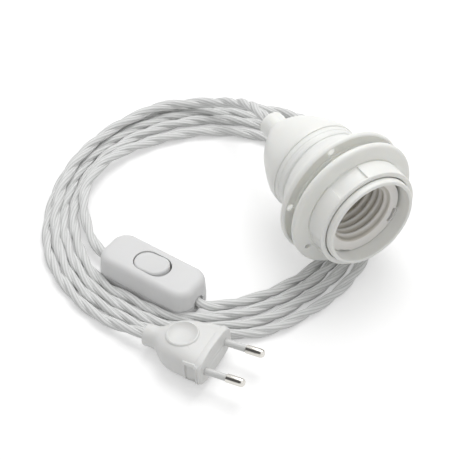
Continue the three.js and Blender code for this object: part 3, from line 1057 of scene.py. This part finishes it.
    def block(self) -> None:
        """Builds the insulating block, whose face carries both contacts."""
        face = self.block_face
        block = turned(
            "contact_floor",
            [
                (0.0, face, 0.0), (12.6, face, 0.2), (12.8, face + 0.4, 0.1),
                (13.6, face + 0.4, 0.1), (13.8, face, 0.2), (self.insert_radius, face, 0.4),
                (self.insert_radius, self.block_back, 0.2), (15.0, self.block_back, 0.1),
                (15.0, self.boss_back, 0.4), (0.0, self.boss_back, 0.0),
            ],
        )
        self.bench.deliver(block, Finish.SOCKET, replaces=["contact_block"])

    def front_ring(self) -> None:
        """Builds the front shade ring with its four grip pads and its vent."""
        f = self.mouth + self.front_ring_depth
        back = f + self.front_ring_length
        flare = flowing(
            [
                (25.3, f + 9.75), (26.6, f + 10.3), (28.2, f + 10.55), (29.6, f + 10.6),
                (30.7, f + 10.85), (31.4, f + 11.5), (self.ring_radius, f + 12.5),
                (31.5, f + 13.4), (30.8, f + 14.05),
            ]
        )
        ring = turned(
            "shade_ring_front",
            [
                (self.ring_bore, f, 0.2), (self.pad_radius, f, 0.45),
                (self.pad_radius, f + 9.0, 0.15), (self.pad_radius - 0.7, f + 9.5, 0.15),
                (self.pad_radius - 0.5, f + 10.0, 0.1),
                *flare,
                (29.9, back, 0.3), (28.3, f + 12.6, 0.5), (24.5, f + 12.2, 0.4),
                (24.4, back, 0.2), (self.ring_bore, back, 0.2),
            ],
        )
        rest = 90.0 - self.pad_sweep
        tools = []
        for i in range(4):
            start = self.first_pad + self.pad_sweep / 2 + 90.0 * i
            span = (self.collar_radius, self.pad_radius + 0.9, start, start + rest)
            tools.append(sector("dip", span, f + 0.75, f + 9.75))
        radius = self.front_vent_radius
        tools.append(self.post("vent", radius, *self.front_vent, f + 6, back + 1))
        carve(ring, tools)
        break_edges(ring, self.edge_break)
        self.bench.deliver(ring, Finish.HOLDER, Body.FRONT_RING, ["ring_front"], limit=40)

    def back_ring(self) -> None:
        """Builds the back shade ring with its four vents, and a glowing disc in each vent: a
        painted glow that stands in for light seen through the vent.
        """
        f = self.mouth + self.back_ring_depth
        flare = flowing(
            [
                (31.1, f + 0.25), (31.6, f + 0.9), (self.ring_radius, f + 1.7), (31.35, f + 2.7),
                (30.4, f + 3.5), (28.7, f + 4.4), (26.6, f + 6.1), (25.0, f + 8.2),
                (24.1, f + 10.1), (23.6, f + 11.3),
            ]
        )
        ring = turned(
            "shade_ring_back",
            [
                (self.ring_bore, f, 0.2), (25.2, f, 0.3), (25.5, f + 0.9, 0.3),
                (30.1, f + 0.9, 0.3), (30.5, f, 0.25),
                *flare,
                (23.5, f + self.back_ring_length, 0.15),
                (self.ring_bore, f + self.back_ring_length, 0.2),
            ],
        )
        tools, glow_discs = [], []
        for degrees in self.back_vents:
            place = (degrees, self.back_vent_circle)
            tools.append(self.post("vent", self.back_vent_radius, *place, f - 1, f + 12))
            # Each disc sits in its vent and glows: painted light seen through the vent.
            glow_discs.append(self.post("web", self.glow_disc_radius, *place, f + 1.3, f + 2.1))
        carve(ring, tools)
        break_edges(ring, self.edge_break)
        self.bench.deliver(ring, Finish.HOLDER, Body.BACK_RING, ["ring_back"], limit=40)
        for number, web in enumerate(glow_discs, start=1):
            web.name = f"vent_web_{number}"
            self.bench.deliver(web, Finish.WEB, Body.BACK_RING)

    def grip(self) -> None:
        """Builds the cord grip that fills the nipple's bore."""
        grip = turned(
            "nipple_grip",
            [(0.0, 37.1, 0.0), (4.2, 37.1, 0.4), (4.2, 46.7, 0.6), (0.0, 46.7, 0.0)],
            steps=48,
        )
        self.bench.deliver(grip, Finish.HOLDER, replaces=["cord_grip"])


# The inline switch


@dataclass
class InlineSwitch(Fitting):
    """The switch: base, cover and rocker, built in the switch's own frame."""

    length: float = 50.0
    width: float = 22.0
    height: float = 15.0
    corner: float = 7.5
    split: float = 5.25
    centre: tuple[float, float] = (-82.0, 19.2)
    turn: float = -68.5
    pivot: float = 10.8
    tilt: float = 6.0
    rocker_length: float = 17.2
    rocker_width: float = 12.0
    rocker_dip: float = 0.5
    rocker_low: float = -1.6
    rocker_high: float = 5.0
    rocker_edge: float = 1.1
    window_play: tuple[float, float] = (1.4, 0.6)
    bearing: tuple[float, float] = (1.5, 7.4)
    stub_radius: float = 1.2
    pocket: tuple[float, float] = (36.0, 13.4)
    seam: float = 0.15
    top_edge: float = 3.2
    base_edge: float = 1.1
    entry_radius: float = 3.3
    screw_station: float = 20.4
    screw_hole: float = 2.3

    def place(self) -> Matrix:
        """Returns the switch's place in the set."""
        aim = Matrix.Rotation(math.radians(self.turn), 4, "Z")
        return Matrix.Translation((*self.centre, FLOOR)) @ aim

    def build(self) -> None:
        """Builds the switch and keeps a list of its pieces."""
        self.base()
        self.cover()
        self.rocker()

    def entries(self) -> list[Piece]:
        """Returns tools for the round cord entries at both ends."""
        tools = []
        for side in (-1, 1):
            start = Vector((side * (self.length / 2 - 1.2), 0, self.split))
            tools.append(rod("entry", self.entry_radius, start, start + Vector((side * 6, 0, 0))))
        return tools

    def base(self) -> None:
        """Builds the base tray with its screw holes."""
        top = self.split - self.seam
        tray = slab("switch_tray", (self.length, self.width, top), (0, 0, top / 2), self.corner)
        with editing(tray) as bm:
            foot = [e for e in bm.edges if max(v.co.z for v in e.verts) < 1e-4]
            soften(bm, foot, self.base_edge, 4)
        tools = [slab("pocket", (*self.pocket, 8), (0, 0, 5.6)), *self.entries()]
        for x in (-self.screw_station, self.screw_station):
            tools.append(rod("hole", self.screw_hole, Vector((x, 0, -1)), Vector((x, 0, 9))))
        carve(tray, tools)
        self.keep(tray, Finish.SWITCH, "switch_base")

    def racetrack(self, name: str, length: float, width: float, low: float, high: float) -> Piece:
        """Makes a prism with round ends along the switch.

        Args:
            name: The piece's name.
            length: Overall length.
            width: Overall width.
            low: Height of its underside.
            high: Height of its top.

        Returns:
            The prism, in millimetres.
        """
        bm = bmesh.new()
        ring = bmesh.ops.create_circle(bm, cap_ends=True, segments=56, radius=width / 2)["verts"]
        for vert in ring:
            vert.co.x += math.copysign((length - width) / 2, vert.co.x)
        bmesh.ops.translate(bm, vec=(0, 0, low), verts=bm.verts)
        grown = bmesh.ops.extrude_face_region(bm, geom=bm.faces[:])["geom"]
        top = [item for item in grown if isinstance(item, bmesh.types.BMVert)]
        bmesh.ops.translate(bm, vec=(0, 0, high - low), verts=top)
        close_up(bm)
        return link(bm, name)

    def cover(self) -> None:
        """Builds the soft-edged cover, open over the rocker."""
        low = self.split + self.seam
        tall = self.height - low
        size = (self.length, self.width, tall)
        cover = slab("switch_shell", size, (0, 0, low + tall / 2), self.corner, self.top_edge)
        for vert in cover.data.vertices:
            up = (vert.co.z - low) / tall
            vert.co.x *= 1 - 0.022 * up
            vert.co.y *= 1 - 0.05 * up
        play_along, play_across = self.window_play
        long, wide = self.rocker_length + play_along, self.rocker_width + play_across
        radius, reach = self.bearing
        tools = [
            slab("pocket", (*self.pocket, 7.5), (0, 0, 5.25)),
            self.racetrack("window", long, wide, 7.0, 20.0),
            rod("bearing", radius, Vector((0, -reach, self.pivot)), Vector((0, reach, self.pivot))),
            *self.entries(),
        ]
        carve(cover, tools)
        self.keep(cover, Finish.SWITCH, "switch_cover", limit=40)

    def rocker(self) -> None:
        """Builds the rocker key, tilted as it rests."""
        length, width, high = self.rocker_length, self.rocker_width, self.rocker_high
        key = self.racetrack("switch_key", length, width, self.rocker_low, high)
        with editing(key) as bm:
            rim = [e for e in bm.edges if min(v.co.z for v in e.verts) > high - 0.01]
            soften(bm, rim, self.rocker_edge, 5)
            for station in range(-7, 8):
                whole = [*bm.verts, *bm.edges, *bm.faces]
                bmesh.ops.bisect_plane(bm, geom=whole, plane_co=(station, 0, 0), plane_no=(1, 0, 0))
            for vert in bm.verts:
                if vert.co.z > 3.0:
                    vert.co.z -= self.rocker_dip * math.cos(vert.co.x / length * math.pi)
            bmesh.ops.create_cone(
                bm,
                cap_ends=True,
                segments=24,
                radius1=self.stub_radius,
                radius2=self.stub_radius,
                depth=width + 2.4,
                matrix=Matrix.Rotation(math.pi / 2, 4, "X"),
            )
        tip = Matrix.Rotation(math.radians(-self.tilt), 4, "Y")
        rest = Matrix.Translation((0, 0, self.pivot)) @ tip
        self.keep(key, Finish.SWITCH, "switch_rocker", Body.ROCKER, rest, limit=40)


# The plug


@dataclass
class FlatPlug(Fitting):
    """The moulded plug, built along its own X with its pins forward."""

    centre: Point = (-86.4, -38.5, -27.6)
    turn: float = -60.7
    pitch: float = 4.8
    pin_spacing: float = 18.6
    pin_seat: float = 5.7
    pin_length: float = 19.0
    sleeve_end: float = 10.2
    dish_station: float = -15.3
    panel: Point = (5.8, 4.0, 8.6)
    panel_station: float = -5.0
    panel_side: float = 14.6
    band: Point = (7.6, 12.0, 10.6)
    band_station: float = -5.3
    band_side: float = 14.0
    band_swell: tuple[float, float] = (1.035, 1.02)
    seat_radius: float = 1.75
    edge_break: float = 0.22

    def place(self) -> Matrix:
        """Returns the plug's place in the set."""
        aim = Matrix.Rotation(math.radians(self.turn), 4, "Z")
        nod = Matrix.Rotation(math.radians(-self.pitch), 4, "Y")
        return Matrix.Translation(self.centre) @ aim @ nod

    def build(self) -> None:
        """Builds the plug and keeps a list of its pieces."""
        self.body()
        self.pins()

    def section(
        self, bm: bmesh.types.BMesh, at: float, wide: float, tall: float, flat: float
    ) -> list[bmesh.types.BMEdge]:
        """Adds one cross-section of the body.

        Args:
            bm: The bmesh to draw in.
            at: Station along the plug.
            wide: Half width.
            tall: Half height.
            flat: From 0, an ellipse, to 1, flat above and below.

        Returns:
            The section's edges.
        """
        verts = bmesh.ops.create_circle(bm, segments=40, radius=1.0)["verts"]
        for vert in verts:
            across, up = vert.co.x, vert.co.y
            across = math.copysign(abs(across) ** (1 - 0.25 * flat), across)
            up = math.copysign(abs(up) ** (1 - 0.5 * flat), up)
            vert.co = Vector((at, wide * across, tall * up))
        return list({edge for vert in verts for edge in vert.link_edges})

    def frames(self, body: Piece) -> list[Piece]:
        """Makes the low frames that stand round the side panels, on the body's own curve.

        Args:
            body: The lofted body.

        Returns:
            One frame for each side.
        """
        made = []
        for side in (-1, 1):
            frame = bpy.data.objects.new("panel_frame", body.data.copy())
            bpy.context.scene.collection.objects.link(frame)
            frame.data.transform(Matrix.Diagonal((1, *self.band_swell, 1)))
            middle = (self.band_station, side * self.band_side, 0)
            carve(frame, [slab("band", self.band, middle)], Grip.COMMON)
            made.append(frame)
        return made

    def discs(self, name: str, profile: Sequence[Corner]) -> list[Piece]:
        """Turns a profile about the finger dishes' axis, once above and once below.

        Args:
            name: The pieces' name.
            profile: Radius, height from the plug's middle and rounding of each corner.

        Returns:
            Both pieces.
        """
        made = []
        for side in (-1, 1):
            disc = turned(name, profile, steps=64)
            tip = Matrix.Rotation(math.pi / 2 * side, 4, "X")
            disc.data.transform(Matrix.Translation((self.dish_station, 0, 0)) @ tip)
            made.append(disc)
        return made

    def body(self) -> None:
        """Builds the lofted body with its dishes, side panels and pin seats."""
        bm = bmesh.new()
        stations = [
            (-34.1, 4.3, 4.3, 0), (-33.7, 4.85, 4.85, 0), (-33.0, 5.0, 5.0, 0),
            (-30.5, 5.0, 5.0, 0), (-28.6, 5.15, 5.1, 0), (-27.4, 5.5, 5.3, 0),
            (-26.2, 6.3, 5.8, 0.1), (-24.6, 7.9, 6.6, 0.25), (-22.6, 9.7, 7.4, 0.45),
            (-20.0, 11.2, 8.0, 0.6), (-17.0, 12.1, 8.3, 0.72), (-14.0, 12.6, 8.3, 0.8),
            (-10.5, 13.05, 7.95, 0.9), (-7.0, 13.4, 7.5, 1), (-4.4, 13.7, 7.15, 1),
            (-3.2, 13.9, 7.0, 1), (-2.9, 14.3, 7.2, 1), (-2.6, 14.45, 7.25, 1),
            (-0.9, 14.7, 7.1, 1), (-0.3, 14.6, 7.0, 1), (0, 14.2, 6.6, 1), (0.02, 13.2, 5.8, 1),
        ]
        rings = [self.section(bm, *station) for station in stations]
        for first, second in zip(rings, rings[1:]):
            bmesh.ops.bridge_loops(bm, edges=[*first, *second])
        for ring in (rings[0], rings[-1]):
            bmesh.ops.edgeloop_fill(bm, edges=ring)
        close_up(bm)
        body = link(bm, "plug_moulding")
        pad = [(0.0, 4.0, 0.0), (8.6, 4.0, 0.0), (7.3, 8.4, 0.6), (0.0, 8.4, 0.0)]
        dish = [(0.0, 6.4, 0.0), (5.2, 6.7, 2.0), (6.7, 8.4, 0.3), (6.8, 12.0, 0.0), (0.0, 12, 0.0)]
        carve(body, [*self.frames(body), *self.discs("pad", pad)], Grip.JOIN)
        tools = self.discs("dish", dish)
        for side in (-1, 1):
            middle = (self.panel_station, side * self.panel_side, 0)
            tools.append(slab("panel", self.panel, middle))
            start = Vector((-self.pin_seat - 0.3, side * self.pin_spacing / 2, 0))
            tools.append(rod("seat", self.seat_radius, start, start + Vector((9, 0, 0))))
        carve(body, tools)
        break_edges(body, self.edge_break, 40)
        self.keep(body, Finish.PLUG, "plug_body", limit=36)

    def pins(self) -> None:
        """Builds both pins and their sleeves."""
        along = Matrix.Rotation(-math.pi / 2, 4, "Z")
        for name, side in (("left", -1), ("right", 1)):
            offset = Matrix.Translation((0, side * self.pin_spacing / 2, 0))
            pin = turned(
                f"plug_contact_{name}",
                [
                    (0.0, -self.pin_seat, 0.0), (0.9, -self.pin_seat, 0.2),
                    (0.9, self.sleeve_end + 0.1, 0.1), (2.0, self.sleeve_end + 0.1, 0.2),
                    (2.0, 17.0, 0.0), (1.8, 18.0, 0.3), (1.3, 18.7, 0.3),
                    (0.0, self.pin_length, 0.0),
                ],
                steps=48,
            )
            end = self.sleeve_end
            sleeve = turned(
                f"plug_collar_{name}",
                [(1.2, -5.4, 0.1), (1.6, -5.4, 0.1), (1.6, end, 0.15), (1.2, end, 0.1)],
                steps=48,
            )
            local = offset @ along
            self.keep(pin, Finish.NICKEL, f"plug_pin_{name}", local=local)
            self.keep(sleeve, Finish.SLEEVE, f"plug_sleeve_{name}", local=local)


# The cord: angle in degrees, radius and height above the surface, round the coil's centre

HOLDER_TURNS = (
    (88, 73.0, 7.6), (100, 72.7, 7.3), (115, 72.6, 7.1), (130, 72.8, 6.8), (145, 73.4, 6.2),
    (158, 74.5, 5.0), (170, 75.6, 3.6), (182, 76.7, 2.9), (195, 76.7, 2.8), (208, 77.1, 2.7),
    (217, 77.8, 2.7), (225, 77.1, 2.7), (233, 76.0, 2.7), (247, 76.0, 2.7), (256, 76.2, 2.7),
    (270, 74.2, 2.7), (285, 73.6, 2.8), (300, 73.2, 2.8), (315, 72.6, 2.7), (330, 71.8, 2.7),
    (345, 70.8, 2.7), (360, 70.1, 2.7), (375, 69.8, 2.7), (390, 69.8, 2.8), (405, 69.9, 2.7),
    (420, 70.1, 2.8), (440, 70.2, 2.7), (460, 70.2, 2.8), (480, 70.3, 2.7), (500, 70.3, 2.8),
    (515, 70.3, 2.8), (530, 70.9, 2.7), (545, 71.9, 2.7), (558, 71.4, 2.7), (570, 71.9, 2.7),
    (579, 72.8, 2.7), (593, 71.2, 2.7), (607, 70.3, 2.7), (618, 69.3, 2.7), (631, 66.9, 2.7),
    (645, 66.9, 2.8), (660, 67.2, 2.8), (675, 66.7, 2.7), (690, 65.8, 2.7), (705, 65.0, 2.7),
    (720, 64.6, 2.7), (740, 64.5, 2.8), (760, 64.6, 2.7), (780, 64.7, 2.8), (800, 64.9, 2.7),
    (820, 65.1, 2.8), (840, 65.3, 2.7), (860, 65.4, 2.8), (875, 65.4, 2.8), (890, 66.0, 2.8),
    (900, 66.8, 2.8), (910, 67.1, 2.8), (917, 66.1, 2.75), (924, 65.8, 2.75), (931, 66.5, 2.75),
    (938, 67.6, 2.8), (948, 66.2, 2.8), (958, 64.6, 2.8), (968, 63.5, 2.7), (978, 62.2, 2.7),
    (990, 61.1, 2.7), (1005, 61.2, 2.8), (1020, 61.5, 2.8), (1035, 61.4, 2.7), (1050, 60.6, 2.7),
    (1065, 59.4, 2.7), (1080, 58.3, 2.7), (1100, 57.4, 2.8), (1120, 57.0, 2.7), (1140, 56.7, 2.8),
    (1155, 56.8, 2.9), (1168, 57.6, 3.3), (1180, 59.1, 4.4), (1192, 60.7, 5.8), (1204, 61.7, 6.6),
    (1216, 61.9, 6.6), (1228, 60.6, 6.1),
)
PLUG_TURNS = (
    (-42, 57.1, 4.3), (-35, 58.1, 6.5), (-26, 60.4, 8.0), (-15, 63.8, 8.1), (-4, 67.3, 8.1),
    (7, 70.9, 7.9), (17, 73.9, 6.4), (27, 75.4, 4.4), (38, 75.6, 3.0), (50, 75.4, 2.7),
    (63, 75.3, 2.7), (76, 75.3, 2.7), (90, 75.3, 2.7), (104, 75.2, 2.7), (120, 75.4, 2.7),
    (136, 75.8, 2.7), (148, 76.9, 2.7), (158, 78.6, 2.7), (167, 80.0, 2.7),
)


@dataclass
class TwistedCord:
    """Two covered cores twisted together along a route."""

    bench: Bench
    core: float = 1.7
    offset: float = 0.88
    squash: float = 0.95
    lay: float = 32.0
    yarns: int = 7
    furrow: float = 0.028
    drift: float = 0.55
    sides: int = 28
    spacing: float = 1.4
    coil: tuple[float, float] = (-34.5, 40.5)
    diameter: float = 0.0052

    def around(self, degrees: float, radius: float, height: float) -> Point:
        """Returns a point of the coil from its angle, radius and height above the surface."""
        angle = math.radians(degrees)
        return (
            self.coil[0] + radius * math.cos(angle),
            self.coil[1] + radius * math.sin(angle),
            FLOOR + height,
        )

    def holder_run(self) -> list[Point]:
        """Returns the route from the holder round the coil into the switch."""
        route: list[Point] = [
            (0, 47.0, 0), (0, 50.7, 0), (0.8, 58, -2), (3, 67, -6.5), (4.5, 77, -13),
            (4.5, 88, -20.5), (0.5, 99, -26.5), (-8, 107.5, -29.4), (-20, 112.5, -29.4),
        ]
        route += [self.around(*row) for row in HOLDER_TURNS]
        route += [
            (-89.3, 64.0, FLOOR + 5.4), (-91.9, 55.0, FLOOR + 5.15), (-92.35, 45.8, FLOOR + 5.2),
            (-90.9, 41.9, FLOOR + 5.25),
        ]
        return route

    def plug_run(self) -> list[Point]:
        """Returns the route from the switch under the holder and round the outside to the plug."""
        route: list[Point] = [
            (-73.1, -3.4, FLOOR + 5.25), (-72.2, -5.7, FLOOR + 5.1), (-69.4, -7.9, FLOOR + 4.3),
            (-63.8, -9.8, FLOOR + 3.1), (-55.0, -12.4, FLOOR + 2.7), (-45.0, -14.5, FLOOR + 2.7),
            (-32.5, -15.0, FLOOR + 2.7), (-20.5, -13.6, FLOOR + 2.7), (-8.5, -9.6, FLOOR + 2.7),
            (3.0, -2.5, FLOOR + 3.1),
        ]
        route += [self.around(*row) for row in PLUG_TURNS]
        route += [
            (-115.0, 47.0, FLOOR + 2.7), (-115.6, 36.0, FLOOR + 2.7),
            (-115.0, 24.0, FLOOR + 2.8), (-112.2, 11.5, FLOOR + 3.6), (-108.6, 2.2, FLOOR + 5.1),
            (-105.1, -5.2, -30.85), (-103.25, -8.5, -30.5),
        ]
        return route

    def section(
        self, bm: bmesh.types.BMesh, centre: Vector, out: Vector, across: Vector, drift: float
    ) -> list[bmesh.types.BMVert]:
        """Adds one section of a core, pressed flat against its neighbour and lobed by its yarns.

        Args:
            bm: The bmesh to draw in.
            centre: The section's centre.
            out: Direction away from the other core.
            across: Direction along the other core's face.
            drift: How far the yarns have turned back, in turns.

        Returns:
            The section's vertices, in order.
        """
        verts = []
        for k in range(self.sides):
            angle = math.tau * k / self.sides
            crown = math.cos(self.yarns * (angle + math.tau * drift))
            reach = self.core * (1 + self.furrow * crown)
            flat = math.cos(angle) * self.squash * out + math.sin(angle) / self.squash * across
            verts.append(bm.verts.new(centre + reach * flat))
        return verts

    def skin(
        self, bm: bmesh.types.BMesh, rows: Sequence[Sequence[bmesh.types.BMVert]], step: float
    ) -> None:
        """Joins a core's sections, closes its ends and maps it by millimetres and turns.

        Args:
            bm: The bmesh to draw in.
            rows: The core's sections.
            step: Distance between sections.
        """
        cover = bm.loops.layers.uv["cover"]
        for i, (first, second) in enumerate(zip(rows, rows[1:])):
            for k in range(self.sides):
                j = (k + 1) % self.sides
                face = bm.faces.new((first[k], first[j], second[j], second[k]))
                spots = ((i, k), (i, k + 1), (i + 1, k + 1), (i + 1, k))
                for loop, (row, turn) in zip(face.loops, spots):
                    back = self.drift * row * step / self.lay
                    loop[cover].uv = (row * step, turn / self.sides + back)
        bm.faces.new(list(reversed(rows[0])))
        bm.faces.new(rows[-1])

    def wind(self, name: str, stations: Sequence[Vector]) -> Piece:
        """Winds both cores along the stations.

        Args:
            name: The piece's name.
            stations: Centreline of the cord.

        Returns:
            The cord, in millimetres.
        """
        bm = bmesh.new()
        bm.loops.layers.uv.new("cover")
        last = len(stations) - 1
        step = sum((b - a).length for a, b in zip(stations, stations[1:])) / last
        up = Vector((0, 0, 1))
        ups, sides = [], []
        for i in range(last + 1):
            along = (stations[min(i + 1, last)] - stations[max(i - 1, 0)]).normalized()
            up = (up - along * up.dot(along)).normalized()
            ups.append(up)
            sides.append(along.cross(up))
        for phase in (0.0, math.pi):
            arms = []
            for i in range(last + 1):
                angle = math.tau * step * i / self.lay + phase
                arms.append(self.offset * (math.cos(angle) * ups[i] + math.sin(angle) * sides[i]))
            centres = [station + arm for station, arm in zip(stations, arms)]
            rows = []
            for i, arm in enumerate(arms):
                along = (centres[min(i + 1, last)] - centres[max(i - 1, 0)]).normalized()
                out = (arm - along * arm.dot(along)).normalized()
                back = self.drift * i * step / self.lay
                rows.append(self.section(bm, centres[i], out, along.cross(out), back))
            self.skin(bm, rows, step)
        bmesh.ops.recalc_face_normals(bm, faces=bm.faces)
        return link(bm, name)

    def build(self, switch: InlineSwitch, plug: FlatPlug) -> None:
        """Args:
            switch: The switch at the end of the first length; its pieces are gathered but not used.
            plug: The plug at the end of the second length; its pieces are gathered but not used.
        """
        inner = ["switch_bridge"]
        inner += [f"switch_{part}_{end}" for part in ("terminal", "screw") for end in ("in", "out")]
        plan = (
            (
                "cord_holder_to_switch",
                self.holder_run(),
                "fitting",
                ["cord_coil", "cord_from_holder", "cord_into_switch"],
                [*switch.pieces, *inner],
            ),
            (
                "cord_switch_to_plug",
                self.plug_run(),
                "plug",
                ["cord_out_of_switch", "cord_to_plug"],
                plug.pieces,
            ),
        )
        for name, route, far_end, replaced, carried in plan:
            stations = smooth_line(route, self.spacing)
            piece = self.wind(name, stations)
            self.bench.deliver(piece, Finish.CORD, replaces=replaced, limit=70)


# The studio


@dataclass(frozen=True)
class Lamp:
    """A square soft lamp that looks at the set; distances in metres, power in watts."""

    name: str
    way: Point
    reach: float
    size: float
    power: float

    def hang(self, aim: Vector) -> None:
        """Hangs the lamp on its side of a point, in metres, and turns it there."""
        data = bpy.data.lights.new(self.name, "AREA")
        data.size = self.size
        data.energy = self.power
        lamp = bpy.data.objects.new(self.name, data)
        way = Vector(self.way)
        lamp.location = aim + way.normalized() * self.reach
        lamp.rotation_mode = "QUATERNION"
        lamp.rotation_quaternion = (-way).to_track_quat("-Z", "Y")
        bpy.context.scene.collection.objects.link(lamp)


@dataclass
class Studio:
    """Camera, floor, lights and world."""

    aim: Point = (-33.4, 30.3, FLOOR)
    azimuth: float = -33.5
    elevation: float = 45.0
    distance: float = 1000.0
    lens: float = 169.9
    ambient: float = 0.54
    floor_shade: float = 0.74
    floor_lift: float = 0.38
    card: Point = (-0.76, 0.07, 0.65)
    floor_reach: float = 6000.0
    key: Lamp = Lamp("key", (0.5, 0.42, 1.4), 1.25, 0.8, 8.0)
    fill: Lamp = Lamp("fill", (0.1, -1.0, 1.3), 1.4, 1.6, 1.2)

    def build(self) -> None:
        """Sets up everything round the object."""
        self.camera()
        self.floor()
        for lamp in (self.key, self.fill):
            lamp.hang(Vector(self.aim) * MM)
        self.world()
        bpy.context.scene.view_settings.view_transform = "Standard"

    def camera(self) -> None:
        """Places the camera at the photograph's angle."""
        turn, lift = math.radians(self.azimuth), math.radians(self.elevation)
        level = Vector((math.sin(turn), -math.cos(turn), 0)) * math.cos(lift)
        back = level + Vector((0, 0, math.sin(lift)))
        data = bpy.data.cameras.new("view")
        data.lens = self.lens
        data.sensor_width = 36.0
        data.clip_start = 0.05
        data.clip_end = 20.0
        camera = bpy.data.objects.new("view", data)
        camera.location = (Vector(self.aim) + back * self.distance) * MM
        camera.rotation_mode = "QUATERNION"
        camera.rotation_quaternion = (-back).to_track_quat("-Z", "Y")
        bpy.context.scene.collection.objects.link(camera)
        bpy.context.scene.camera = camera

    def floor(self) -> None:
        """Lays a plain white floor that keeps the object's shadow."""
        bm = bmesh.new()
        bmesh.ops.create_grid(bm, x_segments=1, y_segments=1, size=self.floor_reach)
        bmesh.ops.translate(bm, vec=(0, 0, FLOOR - 0.05), verts=bm.verts)
        floor = link(bm, "floor")
        floor.data.transform(Matrix.Scale(MM, 4))
        material = bpy.data.materials.new("plain_floor")
        material.use_nodes = True
        nodes = material.node_tree.nodes
        nodes.clear()
        wire = Wiring(material.node_tree)
        body = wire.node("BsdfDiffuse", {"Color": (*[self.floor_shade] * 3, 1.0)})
        seen = wire.node("LightPath")
        shown = wire.maths("MAXIMUM", seen.outputs["Is Camera Ray"], seen.outputs["Is Glossy Ray"])
        lift = wire.maths("MULTIPLY", shown, self.floor_lift)
        glow = wire.node("Emission", {"Color": (1.0, 1.0, 1.0, 1.0), "Strength": lift})
        both = wire.node("AddShader", {0: body.outputs["BSDF"], 1: glow.outputs["Emission"]})
        wire.node("OutputMaterial", {"Surface": both.outputs["Shader"]})
        floor.data.materials.append(material)

    def world(self) -> None:
        """Lights the set evenly, white for the camera, with a dark card on the left for gloss."""
        world = bpy.data.worlds.new("studio")
        bpy.context.scene.world = world
        world.use_nodes = True
        wire = Wiring(world.node_tree)
        seen = wire.node("LightPath")
        way = wire.node("TexCoord")
        facing = wire.node(
            "VectorMath", {0: way.outputs["Generated"], 1: self.card}, operation="DOT_PRODUCT"
        )
        card = wire.remap(facing.outputs["Value"], 0.74, 0.92, 1.0, 0.1)
        gloss = wire.maths("SUBTRACT", card, self.ambient)
        lit = wire.maths("MULTIPLY_ADD", seen.outputs["Is Glossy Ray"], gloss, self.ambient)
        bright = wire.maths("MAXIMUM", seen.outputs["Is Camera Ray"], lit)
        back = world.node_tree.nodes["Background"]
        wire.feed(back, {"Color": (1.0, 1.0, 1.0, 1.0), "Strength": bright})


def dress_small_parts(frame: dict, finishes: Finishes) -> None:
    """Gives each hidden node that stays its real finish.

    Args:
        frame: The loaded frame.
        finishes: The set's materials.
    """
    plan: dict[Finish, tuple[str, ...]] = {
        Finish.BRASS: (
            "centre_contact", "side_contact", "terminal_live", "terminal_neutral",
            "switch_bridge", "switch_terminal_in", "switch_terminal_out",
        ),
        Finish.NICKEL: (
            "terminal_screw_live", "terminal_screw_neutral", "switch_screw_in", "switch_screw_out",
        ),
    }
    for finish, names in plan.items():
        for name in names:
            for slot in frame["nodes"][name].material_slots:
                slot.material = finishes.made[finish]
            LOG.info("%s: dressed in %s", name, finish.value[0])


def main() -> None:
    """Builds the whole set and its studio."""
    logging.basicConfig(level=logging.INFO, format="%(name)s %(message)s")
    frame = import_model()
    Studio().build()
    finishes = Finishes()
    finishes.build()
    bench = Bench(finishes)
    switch = InlineSwitch(bench)
    plug = FlatPlug(bench)
    builders: tuple[tuple[str, Callable[[], None]], ...] = (
        ("switch", switch.build),
        ("plug", plug.build),
        ("cord", lambda: TwistedCord(bench).build(switch, plug)),
        ("holder", LampHolder(bench).build),
    )
    for name, build in builders:
        build()
        LOG.info("%s built, %d pieces so far", name, bench.count)
    dress_small_parts(frame, finishes)


if __name__ == "__main__":
    main()
